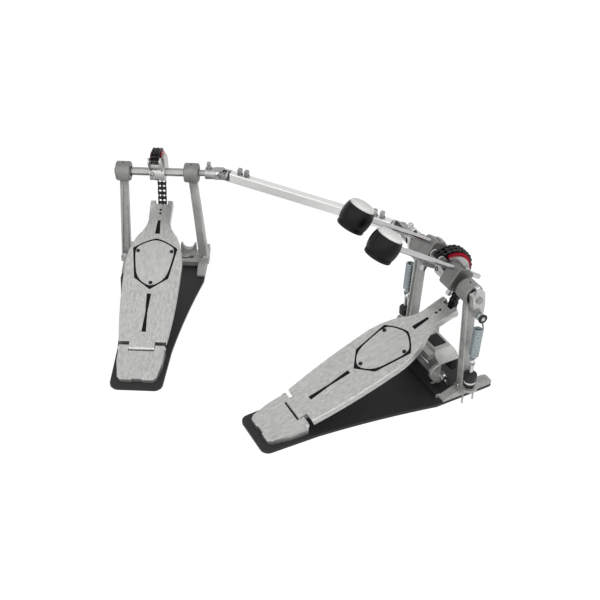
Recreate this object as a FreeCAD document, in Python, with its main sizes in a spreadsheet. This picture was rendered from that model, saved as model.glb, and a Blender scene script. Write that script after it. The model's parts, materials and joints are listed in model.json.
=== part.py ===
import FreeCAD
import Part
import Sketcher
import math
import operator
import os

V = FreeCAD.Vector
Placement = FreeCAD.Placement
Rotation = FreeCAD.Rotation
X_AXIS = V(1, 0, 0)
Y_AXIS = V(0, 1, 0)
Z_AXIS = V(0, 0, 1)

doc = FreeCAD.newDocument("double_pedal")
sheet = doc.addObject("Spreadsheet::Sheet", "sizes")

# Driving dimensions in millimetres and degrees. Each pedal has its own frame: x runs across the
# pedal along its axle, y towards the drum, z up from the floor, with the axle above the origin.
# A reach is measured sideways from the middle, a setback towards the heel from under the axle.
SIZES = [
    ("axle_height", 184.7, "floor to the axle"),
    ("shaft_length", 310.0, "between the two universal joints"),
    ("shaft_angle", 33.0, "drive shaft against the primary axle"),
    ("slave_turn", 59.1, "slave pedal against the primary pedal"),
    ("primary_joint_reach", 114.7, "primary pedal to its universal joint"),
    ("slave_joint_reach", 102.0, "slave pedal to its universal joint"),
    ("left_extra", 10.0, "how much further out the primary's left post stands"),
    ("run_gap", 0.05, "radial clearance of a turning or sliding fit"),
    ("seat_gap", 0.02, "clearance of a seat"),
    ("mat_thickness", 2.0, "rubber under the base"),
    ("mat_inset", 1.0, "rubber inside the edge of the plate"),
    ("plate_thickness", 4.0, "steel base plate"),
    ("base_heel_width", 77.0, ""),
    ("base_heel_margin", 12.3, "base plate behind the heel plate"),
    ("base_heel_radius", 12.0, ""),
    ("base_waist_width", 83.0, ""),
    ("base_waist_setback", 222.0, ""),
    ("base_sweep", 2.7, "hollow of the flaring sides"),
    ("base_toe_width", 138.0, ""),
    ("base_toe_setback", 44.0, ""),
    ("base_front", 40.0, "front edge between the rails"),
    ("rail_width", 13.0, "side rails of the toe frame"),
    ("rail_height", 11.0, ""),
    ("rail_setback", 34.0, ""),
    ("rail_crest", 12.0, "setback where the rail reaches its full height"),
    ("rail_toe", 3.0, "height of the rail's thin rear end"),
    ("rail_front", 50.0, ""),
    ("rail_nose", 7.0, "height of the rail's front end"),
    ("cross_height", 5.0, "cross member behind the hoop clamp"),
    ("cross_rear", 44.0, ""),
    ("cross_front", 10.5, ""),
    ("cross_strip", 31.0, "front of the cross member beside the lugs"),
    ("bridge_height", 9.0, "cross member of the slave"),
    ("bridge_rear", 5.0, ""),
    ("bridge_front", 30.0, ""),
    ("bridge_hole", 9.0, ""),
    ("bridge_hole_reach", 42.0, ""),
    ("cradle_reach", 36.0, "middle of the stand cradle"),
    ("cradle_width", 26.0, ""),
    ("cradle_height", 15.0, ""),
    ("cradle_depth", 8.0, ""),
    ("cradle_round", 9.5, "radius of its hollow"),
    ("post_seat", 5.0, "boss on the rail under a post"),
    ("post_foot_reach", 65.0, ""),
    ("post_reach", 53.7, "middle of a bearing housing"),
    ("post_foot_width", 14.5, ""),
    ("post_width", 12.0, ""),
    ("post_back", 6.0, "rear face behind the axle"),
    ("post_front", 9.0, "front face before the axle"),
    ("post_groove", 3.0, "depth of the long hollows in a post"),
    ("post_border", 3.2, "edge left round a hollow"),
    ("post_edge", 2.0, "rounding of the post's edges"),
    ("housing_length", 23.0, ""),
    ("housing_diameter", 31.0, ""),
    ("housing_bore", 17.0, ""),
    ("housing_edge", 2.5, ""),
    ("oil_hole", 3.5, ""),
    ("bearing_diameter", 24.0, ""),
    ("bearing_width", 8.0, ""),
    ("ear_height", 29.0, "underside of the spring ears"),
    ("ear_thickness", 4.0, ""),
    ("ear_radius", 12.0, ""),
    ("ear_wall", 1.8, "thin legs under an ear"),
    ("ear_leg_reach", 9.0, "legs before and behind the eye bolt"),
    ("ear_web", 10.0, "width of the web that carries an ear"),
    ("ear_web_depth", 3.1, ""),
    ("spring_reach", 80.0, "middle of the right spring"),
    ("eye_bolt_diameter", 6.0, ""),
    ("eye_bolt_foot", 24.0, "height of the lower end"),
    ("eye_height", 79.0, "middle of the eye"),
    ("eye_radius", 5.0, ""),
    ("eye_wire", 2.6, ""),
    ("nut_diameter", 19.0, "knurled tension nut"),
    ("nut_height", 11.0, ""),
    ("nut_flutes", 16, "grips round the nut"),
    ("lock_nut_diameter", 16.0, ""),
    ("lock_nut_height", 7.5, ""),
    ("washer_diameter", 16.5, "white nylon washer"),
    ("washer_height", 4.0, ""),
    ("heel_plate_width", 69.0, ""),
    ("heel_plate_heel_width", 58.4, ""),
    ("heel_plate_lead", 2.5, "hinge end before the hinge pin"),
    ("heel_plate_length", 59.2, "hinge end to heel end"),
    ("heel_plate_knee", 27.5, "hinge end to where the sides turn in"),
    ("heel_plate_height", 26.7, "top at the hinge end"),
    ("heel_plate_rear_height", 10.9, "top at the heel end"),
    ("heel_plate_skin", 4.0, ""),
    ("heel_plate_lug", 13.0, "solid length that holds the hinge pin"),
    ("heel_plate_corner", 5.0, ""),
    ("heel_notch_depth", 10.0, ""),
    ("heel_dip_width", 17.0, "shallow dip in the heel edge"),
    ("heel_dip", 2.0, ""),
    ("hinge_setback", 237.0, ""),
    ("hinge_height", 22.5, ""),
    ("hinge_pin_diameter", 4.6, ""),
    ("board_tilt", 20.8, "footboard at rest"),
    ("board_top", 4.6, "tread above the hinge pin"),
    ("board_thickness", 10.0, ""),
    ("board_skin", 4.0, ""),
    ("board_wall", 3.5, ""),
    ("board_heel_gap", 9.2, "hinge pin to the heel edge"),
    ("board_length", 260.4, ""),
    ("board_heel_width", 71.2, ""),
    ("board_width", 88.2, ""),
    ("board_widest", 128.0, "from the heel edge, as are the next places"),
    ("board_shoulder_width", 61.0, ""),
    ("board_shoulder", 192.0, ""),
    ("board_neck_width", 34.8, ""),
    ("board_neck", 222.0, ""),
    ("board_toe_width", 36.6, ""),
    ("board_side_bow", 2.2, ""),
    ("board_shoulder_bow", 4.5, ""),
    ("board_neck_bow", 2.8, ""),
    ("board_hollow_end", 20.0, "solid length at the heel and at the toe"),
    ("board_edge", 1.0, "rounding of the tread's edge"),
    ("toe_notch_width", 20.0, ""),
    ("toe_notch_depth", 7.4, ""),
    ("toe_corner", 3.0, ""),
    ("knuckle_width", 38.4, ""),
    ("toe_pin_diameter", 2.2, ""),
    ("toe_pin_back", 3.6, "from the toe end"),
    ("toe_pin_drop", 9.0, "below the hinge plane"),
    ("toe_lug_gap", 17.0, ""),
    ("toe_lug_width", 4.5, ""),
    ("toe_lug_radius", 4.5, ""),
    ("toe_hole_diameter", 4.0, ""),
    ("toe_hole_near", 234.7, ""),
    ("toe_hole_far", 241.7, ""),
    ("shield_top", 186.2, "shield recess, from the heel edge"),
    ("shield_shoulder", 166.8, ""),
    ("shield_width", 70.4, ""),
    ("shield_waist", 111.8, ""),
    ("shield_waist_width", 53.2, ""),
    ("shield_point", 91.3, ""),
    ("shield_brow", 2.2, "bulge of the shield's upper sides"),
    ("shield_depth", 2.2, ""),
    ("shield_groove", 2.4, "gap round the traction plate"),
    ("shield_proud", 0.3, "traction plate above the tread"),
    ("plate_screw_reach", 26.4, ""),
    ("plate_screw_far", 161.6, ""),
    ("plate_screw_near", 103.3, ""),
    ("screw_head", 6.0, ""),
    ("screw_head_height", 1.2, ""),
    ("screw_diameter", 3.0, ""),
    ("screw_length", 4.0, ""),
    ("far_slot_start", 194.8, ""),
    ("far_slot_end", 221.1, ""),
    ("far_slot_wide", 8.0, ""),
    ("far_slot_narrow", 4.5, ""),
    ("near_slot_start", 16.6, ""),
    ("near_slot_end", 83.7, ""),
    ("near_slot_wide", 7.0, ""),
    ("near_slot_waist", 3.2, ""),
    ("slot_depth", 1.5, ""),
    ("axle_flats", 11.0, "hexagonal axle across flats"),
    ("axle_hex_right", 41.0, ""),
    ("axle_hex_left", 19.0, ""),
    ("axle_end", 79.0, ""),
    ("slave_axle_tail", 68.0, ""),
    ("journal_diameter", 10.0, ""),
    ("spigot_diameter", 8.0, "primary axle inside the sleeve"),
    ("spigot_end", 62.0, ""),
    ("sleeve_diameter", 14.0, "hollow axle of the second beater"),
    ("sleeve_start", 25.0, ""),
    ("sleeve_floor", 64.0, "blind end of the sleeve's bore"),
    ("chain_pitch", 8.0, ""),
    ("chain_radius", 34.5, "pitch line round the cam"),
    ("chain_wrap_links", 10, ""),
    ("chain_plate", 1.0, "thickness of a link plate"),
    ("chain_plate_height", 7.0, ""),
    ("chain_roller", 5.0, ""),
    ("chain_roller_length", 3.0, ""),
    ("chain_pin", 2.2, ""),
    ("chain_slack", 0.15, "clearance inside the chain"),
    ("cam_inner_radius", 24.0, ""),
    ("cam_lip_radius", 33.4, ""),
    ("cam_lip", 1.5, ""),
    ("cam_clearance", 0.4, "chain to cam"),
    ("cam_sweep", 124.0, ""),
    ("cam_lean", 81.9561, "middle of the cam before the chain's last pin"),
    ("cam_disc_radius", 29.0, ""),
    ("cam_disc", 3.5, ""),
    ("cam_barrel_radius", 13.5, ""),
    ("cam_barrel_tail", 11.0, ""),
    ("anchor_cheek", 2.4, "chain bracket's side plates"),
    ("anchor_half_height", 6.0, ""),
    ("anchor_bar_radius", 5.0, "cross bar of the chain bracket"),
    ("anchor_bar_reach", 21.0, ""),
    ("rest_lean", 56.0, "beater rods behind the vertical"),
    ("hub_width", 23.0, ""),
    ("right_hub_start", 13.5, ""),
    ("left_hub_start", 27.5, ""),
    ("right_rod_reach", 22.5, ""),
    ("left_rod_reach", 39.5, ""),
    ("right_rod_offset", 14.0, "rod before the axle when it stands upright"),
    ("left_rod_offset", 19.0, ""),
    ("hub_back", 14.0, ""),
    ("hub_front", 6.5, "casting beyond the rod"),
    ("hub_below", 10.5, ""),
    ("hub_above", 20.0, ""),
    ("hub_corner", 6.0, ""),
    ("hub_edge", 1.2, ""),
    ("hub_slot_length", 13.0, ""),
    ("hub_slot_width", 5.0, ""),
    ("hub_slot_depth", 3.0, ""),
    ("hub_boss", 1.2, "raised oval round the slot"),
    ("rod_diameter", 8.0, ""),
    ("rod_tail", 37.0, ""),
    ("right_beater_reach", 155.0, "axle to beater along the rod"),
    ("left_beater_reach", 164.0, ""),
    ("rod_in_beater", 12.0, "rod past the middle of the beater"),
    ("beater_diameter", 43.0, "thickest part of the barrel"),
    ("beater_shoulder", 40.0, "barrel at the groove"),
    ("beater_mouth", 37.8, "barrel at the felt"),
    ("beater_neck", 36.0, "groove before the rear lip"),
    ("beater_lip", 39.0, ""),
    ("beater_lip_depth", 5.0, ""),
    ("beater_groove", 2.0, ""),
    ("beater_back", 20.5, "rear end behind the rod"),
    ("beater_front", 12.0, "felt seat before the rod"),
    ("felt_diameter", 35.6, ""),
    ("felt_depth", 4.5, "straight side of the felt"),
    ("felt_crown", 6.0, "dome of the felt"),
    ("felt_bed", 3.0, "felt sunk into the beater"),
    ("rocker_gap", 2.3, "housing to rocker"),
    ("rocker_width", 9.2, ""),
    ("rocker_ring", 9.6, "half the width of the rocker's block"),
    ("rocker_arm", 28.0, ""),
    ("rocker_arm_width", 10.0, ""),
    ("rocker_swing", 8.0, "arm before straight down"),
    ("spool_radius", 3.2, ""),
    ("spool_length", 6.6, ""),
    ("spool_rim", 6.0, ""),
    ("spool_rim_width", 1.8, ""),
    ("spring_diameter", 14.0, ""),
    ("spring_wire", 2.1, ""),
    ("spring_turns", 17, ""),
    ("spring_pitch", 2.7, ""),
    ("spring_hook", 4.5, "radius of the lower hook"),
    ("spring_slack", 0.3, "hook to what it hangs on"),
    ("bolt_diameter", 6.0, "drum-key bolts"),
    ("bolt_collar", 9.0, ""),
    ("bolt_collar_height", 2.5, ""),
    ("bolt_square", 6.0, ""),
    ("bolt_square_height", 8.5, ""),
    ("bolt_shank", 2.2, ""),
    ("fork_radius", 9.5, "universal joint forks"),
    ("fork_base", 11.0, "joint middle to the fork's root"),
    ("fork_root", 3.5, ""),
    ("fork_collar", 12.0, "clamp collar behind the root"),
    ("fork_ear_gap", 10.4, ""),
    ("fork_ear", 3.8, ""),
    ("fork_ear_width", 9.2, ""),
    ("cross_pin", 4.0, ""),
    ("cross_core", 8.4, ""),
    ("cross_slack", 1.2, "tube fork holes, opened for the swing of the cross"),
    ("tube_width", 12.0, ""),
    ("tube_tall", 16.5, ""),
    ("tube_wall", 2.4, ""),
    ("tube_edge", 2.0, ""),
    ("tube_gap", 17.0, "joint middle to the end of the tube"),
    ("tube_bolt_first", 16.0, "from the tube's end"),
    ("tube_bolt_second", 28.0, ""),
    ("stem_length", 40.0, "fixed fork's stem"),
    ("inner_rod_length", 160.0, "sliding fork's rod"),
    ("clamp_pin_setback", 15.0, ""),
    ("clamp_pin_height", 21.0, ""),
    ("clamp_pin_diameter", 6.0, ""),
    ("clamp_width", 76.0, ""),
    ("clamp_lug", 5.0, ""),
    ("clamp_lug_radius", 6.5, ""),
    ("clamp_side_gap", 0.4, ""),
    ("jaw_top", 60.0, "height of the jaw's back"),
    ("jaw_nose", 11.0, "front of the jaw"),
    ("jaw_mouth", 48.0, "underside of the jaw's roof"),
    ("jaw_wall", 4.0, "rear wall of the jaw"),
    ("jaw_wall_setback", 24.0, "rear face of that wall"),
    ("jaw_wall_foot", 13.5, "height of the wall's lower edge"),
    ("jaw_boss", 9.0, "length of the pivot bosses"),
    ("jaw_slope", 18.0, "sloping shoulders, across"),
    ("jaw_slope_drop", 12.0, "and down"),
    ("jaw_arch", 12.0, "half width of the arch in the wall"),
    ("jaw_arch_top", 44.0, ""),
    ("jaw_arch_corner", 13.0, ""),
    ("jaw_bar", 9.0, "bar along the back of the jaw"),
    ("jaw_bar_height", 10.0, ""),
    ("jaw_bar_reach", 22.0, "half length of the bar"),
    ("pad_thickness", 23.0, "rubber block under the nose"),
    ("pad_depth", 9.0, ""),
    ("cap_thickness", 3.0, "rubber let into the jaw's back"),
    ("cap_depth", 20.0, ""),
    ("cap_reach", 12.0, "half width of the cap"),
    ("pad_edge", 4.0, "rubber inside the jaw's sides"),
    ("wing_hub_radius", 5.0, ""),
    ("wing_hub_length", 5.0, ""),
    ("wing_reach", 12.5, ""),
    ("wing_length", 9.0, ""),
    ("wing_thickness", 3.0, ""),
    ("wing_turn", 20.0, "how the wing screw stands at rest"),
    ("screw_tail", 2.5, "wing screw past the far lug"),
]


class Dim:
    """A length, angle or number that keeps the sheet expression it was worked out from."""

    def __init__(self, value, text):
        self.value = value
        self.text = text

    def __add__(self, other):
        return combine(operator.add, self, "+", other)

    def __radd__(self, other):
        return combine(operator.add, other, "+", self)

    def __sub__(self, other):
        return combine(operator.sub, self, "-", other)

    def __rsub__(self, other):
        return combine(operator.sub, other, "-", self)

    def __mul__(self, other):
        return combine(operator.mul, self, "*", other)

    def __rmul__(self, other):
        return combine(operator.mul, other, "*", self)

    def __truediv__(self, other):
        return combine(operator.truediv, self, "/", other)

    def __neg__(self):
        return Dim(-self.value, f"-({self.text})")


def as_dim(number):
    return number if isinstance(number, Dim) else Dim(float(number), repr(float(number)))


def combine(work, left, sign, right):
    left = as_dim(left)
    right = as_dim(right)
    return Dim(work(left.value, right.value), f"({left.text} {sign} {right.text})")


def cosine(angle):
    angle = as_dim(angle)
    return Dim(math.cos(math.radians(angle.value)), f"cos({angle.text} * 1 deg)")


def sine(angle):
    angle = as_dim(angle)
    return Dim(math.sin(math.radians(angle.value)), f"sin({angle.text} * 1 deg)")


def root(number):
    return Dim(math.sqrt(number.value), f"sqrt({number.text})")


class Sizes:
    """The sheet's cells by alias."""


size = Sizes()
for row, (alias, number, note) in enumerate(SIZES, 1):
    sheet.set(f"A{row}", note or alias.replace("_", " "))
    sheet.set(f"B{row}", str(number))
    sheet.setAlias(f"B{row}", alias)
    setattr(size, alias, Dim(float(number), f"sizes.{alias}"))
doc.recompute()

NODES = {}


def bind(target, prop, dim):
    target.setExpression(prop, as_dim(dim).text)


def keep(name, shape_object, frame):
    """Name a finished sub-part and put it in its place."""
    shape_object.Label = name
    shape_object.Placement = frame
    NODES[name] = shape_object
    return shape_object


# Sketches. A loop is a list of corners (x, y) or (x, y, rise), where rise bows the side that
# leaves the corner into an arc, outwards on a loop that runs anticlockwise.
class Circle:
    def __init__(self, x, y, radius):
        self.x = as_dim(x)
        self.y = as_dim(y)
        self.radius = as_dim(radius)


def mirrored(loop):
    """The loop reflected across x = 0, running the same way round."""
    count = len(loop)
    result = []
    for index in range(count - 1, -1, -1):
        corner = loop[(index + 1) % count]
        result.append((-as_dim(corner[0]), corner[1]) + tuple(loop[index][2:]))
    return result


def both_sides(half):
    """A closed loop from its right half, listed from the rear to the front."""
    left = []
    for index in range(len(half) - 1, -1, -1):
        corner = half[index]
        rise = tuple(half[index - 1][2:]) if index > 0 else ()
        left.append((-as_dim(corner[0]), corner[1]) + rise)
    return [corner if index < len(half) - 1 else corner[:2] for index, corner in enumerate(half)] + left


def fix_coordinate(sketch, kind, shape, end, dim):
    index = sketch.addConstraint(Sketcher.Constraint(kind, -1, 1, shape, end, dim.value))
    bind(sketch, f"Constraints[{index}]", dim)


def fix_point(sketch, shape, end, x, y):
    fix_coordinate(sketch, "DistanceX", shape, end, as_dim(x))
    fix_coordinate(sketch, "DistanceY", shape, end, as_dim(y))


def fix_radius(sketch, shape, radius):
    index = sketch.addConstraint(Sketcher.Constraint("Radius", shape, radius.value))
    bind(sketch, f"Constraints[{index}]", radius)


def arc_between(first, second, rise):
    """Arc from one corner to the next, with its radius and which of its ends it starts from."""
    span = math.hypot(second.x - first.x, second.y - first.y)
    radius = (span * span / 4 + rise * rise) / (2 * abs(rise))
    right = V((second.y - first.y) / span, -(second.x - first.x) / span, 0)
    middle = (first + second) * 0.5
    centre = middle + right * (rise - math.copysign(radius, rise))
    start = math.atan2(first.y - centre.y, first.x - centre.x)
    stop = math.atan2(second.y - centre.y, second.x - centre.x)
    circle = Part.Circle(centre, Z_AXIS, radius)
    if rise > 0:
        return Part.ArcOfCircle(circle, start, stop if stop > start else stop + 2 * math.pi), 1, 2
    return Part.ArcOfCircle(circle, stop, start if start > stop else start + 2 * math.pi), 2, 1


def draw(sketch, loop):
    if isinstance(loop, Circle):
        centre = V(loop.x.value, loop.y.value, 0)
        shape = sketch.addGeometry(Part.Circle(centre, Z_AXIS, loop.radius.value))
        fix_point(sketch, shape, 3, loop.x, loop.y)
        fix_radius(sketch, shape, loop.radius)
        return
    corners = [tuple(as_dim(item) for item in corner) for corner in loop]
    points = [V(corner[0].value, corner[1].value, 0) for corner in corners]
    sides = []
    for index, corner in enumerate(corners):
        following = (index + 1) % len(corners)
        first = points[index]
        second = points[following]
        if len(corner) == 2:
            sides.append((sketch.addGeometry(Part.LineSegment(first, second)), 1, 2))
            continue
        curve, start, stop = arc_between(first, second, corner[2].value)
        shape = sketch.addGeometry(curve)
        sides.append((shape, start, stop))
    for index, corner in enumerate(corners):
        following = (index + 1) % len(corners)
        shape, start, stop = sides[index]
        after, after_start, _ = sides[following]
        sketch.addConstraint(Sketcher.Constraint("Coincident", shape, stop, after, after_start))
        fix_point(sketch, shape, start, corner[0], corner[1])
        if len(corner) == 3:
            across = corners[following][0] - corner[0]
            along = corners[following][1] - corner[1]
            span = root(across * across + along * along)
            lift = (corner[2] * corner[2] - span * span / 4) / (2 * corner[2])
            if abs(along.value) >= abs(across.value):
                place = (corner[0] + corners[following][0]) / 2 + along / span * lift
                fix_coordinate(sketch, "DistanceX", shape, 3, place)
            else:
                place = (corner[1] + corners[following][1]) / 2 - across / span * lift
                fix_coordinate(sketch, "DistanceY", shape, 3, place)


def sketch_on(body, plane, level, loops):
    sketch = body.newObject("Sketcher::SketchObject", body.Name + "_sketch")
    support = [item for item in body.Origin.OriginFeatures if item.Role == plane + "_Plane"]
    sketch.AttachmentSupport = [(support[0], "")]
    sketch.MapMode = "FlatFace"
    bind(sketch, "AttachmentOffset.Base.z", level)
    for loop in loops:
        draw(sketch, loop)
    return sketch


def extrude(kind, body, plane, start, stop, loops):
    """Add or cut the loops between two places on the plane's axis."""
    start = as_dim(start)
    stop = as_dim(stop)
    level = -stop if plane == "XZ" else start
    sketch = sketch_on(body, plane, level, loops)
    feature = body.newObject("PartDesign::" + kind, body.Name + "_" + kind.lower())
    feature.Profile = sketch
    feature.Reversed = kind == "Pocket"
    bind(feature, "Length", stop - start)


def pad(body, plane, start, stop, *loops):
    extrude("Pad", body, plane, start, stop, loops)


def cut(body, plane, start, stop, *loops):
    extrude("Pocket", body, plane, start, stop, loops)


def revolve(body, plane, axis, loop, angle=360.0):
    sketch = sketch_on(body, plane, 0.0, [loop])
    feature = body.newObject("PartDesign::Revolution", body.Name + "_revolution")
    feature.Profile = sketch
    feature.ReferenceAxis = (sketch, [axis])
    feature.Midplane = True
    bind(feature, "Angle", angle)


def soften(body, kind, amount, chosen):
    """Fillet or chamfer the edges that the test picks."""
    doc.recompute()
    base = body.Tip
    names = [f"Edge{number}" for number, edge in enumerate(base.Shape.Edges, 1) if chosen(edge)]
    feature = body.newObject("PartDesign::" + kind, body.Name + "_" + kind.lower())
    feature.Base = (base, names)
    bind(feature, "Radius" if kind == "Fillet" else "Size", amount)


def new_body(name):
    return doc.addObject("PartDesign::Body", name)


def group(name, members):
    compound = doc.addObject("Part::Compound", name)
    compound.Links = members
    return compound


def copy_of(body, frame):
    link = doc.addObject("App::Link", body.Name + "_copy")
    link.LinkedObject = body
    link.LinkTransform = False
    link.Placement = frame
    return link


def turned(axis, angle):
    return Placement(V(0, 0, 0), Rotation(axis, angle))


def moved(x, y, z):
    return Placement(V(x, y, z), Rotation())


def level_edge(height):
    """Test for edges that lie flat at a height."""
    def chosen(edge):
        box = edge.BoundBox
        return abs(box.ZMin - height.value) < 1e-4 and abs(box.ZMax - height.value) < 1e-4
    return chosen


def rectangle(left, bottom, right, top):
    return [(left, bottom), (right, bottom), (right, top), (left, top)]


def hexagon(flats, phase):
    radius = flats / (2 * math.cos(math.radians(30)))
    return [(radius * cosine(phase + 60 * side), radius * sine(phase + 60 * side)) for side in range(6)]


def oblong(x, y, length, width):
    """A slot along x with round ends."""
    half = (length - width) / 2
    end = width / 2
    return [(x - half, y - end), (x + half, y - end, end), (x + half, y + end), (x - half, y + end, end)]


# Frames of the two pedals, of the drive shaft and of what turns on an axle.
primary = Placement()
joint_x = -size.primary_joint_reach.value
shaft_heading = math.radians(size.shaft_angle.value)
slave_heading = math.radians(size.slave_turn.value)
slave_x = joint_x - size.shaft_length.value * math.cos(shaft_heading)
slave_y = -size.shaft_length.value * math.sin(shaft_heading)
slave_x -= size.slave_joint_reach.value * math.cos(slave_heading)
slave_y -= size.slave_joint_reach.value * math.sin(slave_heading)
slave = Placement(V(slave_x, slave_y, 0), Rotation(Z_AXIS, size.slave_turn.value))
to_axle = moved(0, 0, size.axle_height.value)
primary_axle = primary * to_axle
slave_axle = slave * to_axle
shaft = Placement(V(joint_x, 0, size.axle_height.value), Rotation(Z_AXIS, 180 + size.shaft_angle.value))
shaft_far = shaft * moved(size.shaft_length.value, 0, 0) * turned(Z_AXIS, 180)
to_board = Placement(V(0, -size.hinge_setback.value, size.hinge_height.value),
                     Rotation(X_AXIS, size.board_tilt.value))
upright = turned(X_AXIS, size.rest_lean.value)

plate_top = size.mat_thickness + size.plate_thickness
rail_top = plate_top + size.rail_height
post_foot = rail_top + size.post_seat


# Base plate and the rubber mat glued under it: a long plate that flares to the toe and runs
# forward under the two rails.
heel_plate_start = size.heel_plate_lead - size.hinge_setback
heel_plate_end = heel_plate_start - size.heel_plate_length


def base_outline(extra, inset):
    heel = size.base_heel_width / 2 - inset
    waist = size.base_waist_width / 2 - inset
    toe = size.base_toe_width / 2 - inset
    inner = size.base_toe_width / 2 - size.rail_width + inset
    rear = heel_plate_end - size.base_heel_margin + inset
    front = size.rail_front - inset
    notch = size.base_front - inset
    return [
        (heel, rear), (waist, -size.base_waist_setback, -size.base_sweep),
        (toe, -size.base_toe_setback), (toe, front), (inner, front), (inner, notch),
        (-inner - extra, notch), (-inner - extra, front), (-toe - extra, front),
        (-toe - extra, -size.base_toe_setback, -size.base_sweep),
        (-waist, -size.base_waist_setback), (-heel, rear),
    ]


def heel_corner(edge):
    box = edge.BoundBox
    return box.ZLength > 1 and box.YMax < -size.base_waist_setback.value - 10


def base(prefix, frame, extra):
    plate = new_body(prefix + "_base_plate")
    pad(plate, "XY", size.mat_thickness, plate_top, base_outline(extra, 0.0))
    soften(plate, "Fillet", size.base_heel_radius, heel_corner)
    keep(prefix + "_base_plate", plate, frame)
    mat = new_body(prefix + "_rubber_mat")
    pad(mat, "XY", 0.0, size.mat_thickness, base_outline(extra, size.mat_inset))
    soften(mat, "Fillet", size.base_heel_radius, heel_corner)
    keep(prefix + "_rubber_mat", mat, frame)


# Toe frame: one casting of two rails, a cross member and a boss under each post.
def rails(body, extra):
    side_view = [
        (-size.rail_setback, plate_top), (size.rail_front, plate_top),
        (size.rail_front, plate_top + size.rail_nose, (size.rail_height - size.rail_nose) / 3),
        (size.rail_front - size.rail_width, rail_top), (-size.rail_crest, rail_top),
        (-size.rail_setback, plate_top + size.rail_toe),
    ]
    outer = size.base_toe_width / 2
    inner = outer - size.rail_width
    pad(body, "YZ", inner, outer, side_view)
    pad(body, "YZ", -outer - extra, -inner - extra, side_view)
    half = size.post_foot_width / 2 + 1.0
    for reach in (size.post_foot_reach, -size.post_foot_reach - extra):
        boss = rectangle(reach - half, -size.post_back - 2.0, reach + half, size.post_front + 2.0)
        pad(body, "XY", rail_top - 4.0, post_foot, boss)


def slave_toe_frame():
    body = new_body("slave_toe_frame")
    inner = size.base_toe_width / 2 - size.rail_width
    deck = rectangle(-inner - 1.0, -size.bridge_rear, inner + 1.0, size.bridge_front)
    pad(body, "XY", plate_top, plate_top + size.bridge_height, deck)
    rails(body, 0.0)
    deck_top = plate_top + size.bridge_height
    rim = deck_top + size.cradle_height
    left = size.cradle_reach - size.cradle_width / 2
    right = size.cradle_reach + size.cradle_width / 2
    back = size.bridge_front - size.cradle_depth
    pad(body, "XZ", back, size.bridge_front, rectangle(left, deck_top - 1.0, right, rim))
    cut(body, "XZ", back - 1.0, size.bridge_front + 1.0, Circle(size.cradle_reach, rim, size.cradle_round))
    hole = size.bridge_hole
    holes = [Circle(side * size.bridge_hole_reach, hole, hole / 2) for side in (-1, 1)]
    cut(body, "XY", plate_top, plate_top + size.bridge_height + 1.0, *holes)
    keep("slave_toe_frame", body, slave)


def primary_toe_frame():
    body = new_body("primary_toe_frame")
    inner = size.base_toe_width / 2 - size.rail_width
    reach = size.clamp_width / 2 - size.jaw_boss - size.clamp_side_gap
    beam_rear = 6.0 - size.cross_rear
    beam = rectangle(-inner - size.left_extra - 1.0, beam_rear, inner + 1.0, -size.cross_strip)
    pad(body, "XY", plate_top, plate_top + size.cross_height, beam)
    middle = rectangle(-reach - 1.5, beam_rear, reach + 1.5, -size.cross_front)
    pad(body, "XY", plate_top, plate_top + size.cross_height, middle)
    rails(body, size.left_extra)
    lug_half = size.clamp_lug_radius - 2.5
    lug = [
        (-size.clamp_pin_setback - lug_half, plate_top + 1.0),
        (-size.clamp_pin_setback + lug_half, plate_top + 1.0),
        (-size.clamp_pin_setback + lug_half, size.clamp_pin_height, lug_half),
        (-size.clamp_pin_setback - lug_half, size.clamp_pin_height),
    ]
    pad(body, "YZ", reach - size.clamp_lug, reach, lug)
    pad(body, "YZ", -reach, size.clamp_lug - reach, lug)
    bore_radius = size.clamp_pin_diameter / 2 + size.run_gap
    bore = Circle(-size.clamp_pin_setback, size.clamp_pin_height, bore_radius)
    cut(body, "YZ", -reach - 1.0, reach + 1.0, bore)
    outer = size.base_toe_width / 2
    foot_side = size.post_foot_reach + size.post_foot_width / 2 + 1.5
    ear = [
        (foot_side, -size.ear_radius), (size.spring_reach, -size.ear_radius, size.ear_radius),
        (size.spring_reach, size.ear_radius), (foot_side, size.ear_radius),
    ]
    leg = size.ear_wall / 2
    front_leg = rectangle(size.spring_reach - leg, size.ear_leg_reach - leg,
                          size.spring_reach + leg, size.ear_leg_reach + leg)
    rear_leg = rectangle(size.spring_reach - leg, -size.ear_leg_reach - leg,
                         size.spring_reach + leg, leg - size.ear_leg_reach)
    legs = [front_leg, rear_leg]
    web_start = foot_side - 0.4
    web_end = web_start + size.ear_web_depth
    web = [
        (outer - 3.0, plate_top + 2.0), (web_end, rail_top), (web_end, size.ear_height + 1.0),
        (web_start, size.ear_height + 1.0), (web_start, post_foot - 0.5), (outer - 3.0, post_foot - 0.5),
    ]
    hole = Circle(size.spring_reach, 0.0, size.eye_bolt_diameter / 2 + size.run_gap)
    shifted_hole = Circle(-size.spring_reach - size.left_extra, 0.0, hole.radius)
    ear_top = size.ear_height + size.ear_thickness
    for loop in legs + [shift_left(leg_loop) for leg_loop in legs]:
        pad(body, "XY", size.mat_thickness + 1.0, size.ear_height + 1.0, loop)
    half_web = size.ear_web / 2
    pad(body, "XZ", -half_web, half_web, web)
    pad(body, "XZ", -half_web, half_web, shift_left(web))
    pad(body, "XY", size.ear_height, ear_top, ear)
    pad(body, "XY", size.ear_height, ear_top, shift_left(ear))
    cut(body, "XY", size.ear_height - 1.0, ear_top + 1.0, hole)
    cut(body, "XY", size.ear_height - 1.0, ear_top + 1.0, shifted_hole)
    keep("primary_toe_frame", body, primary)


def shift_left(loop):
    """The loop on the primary's left side, which stands further out."""
    return [(corner[0] - size.left_extra,) + tuple(corner[1:]) for corner in mirrored(loop)]


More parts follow.
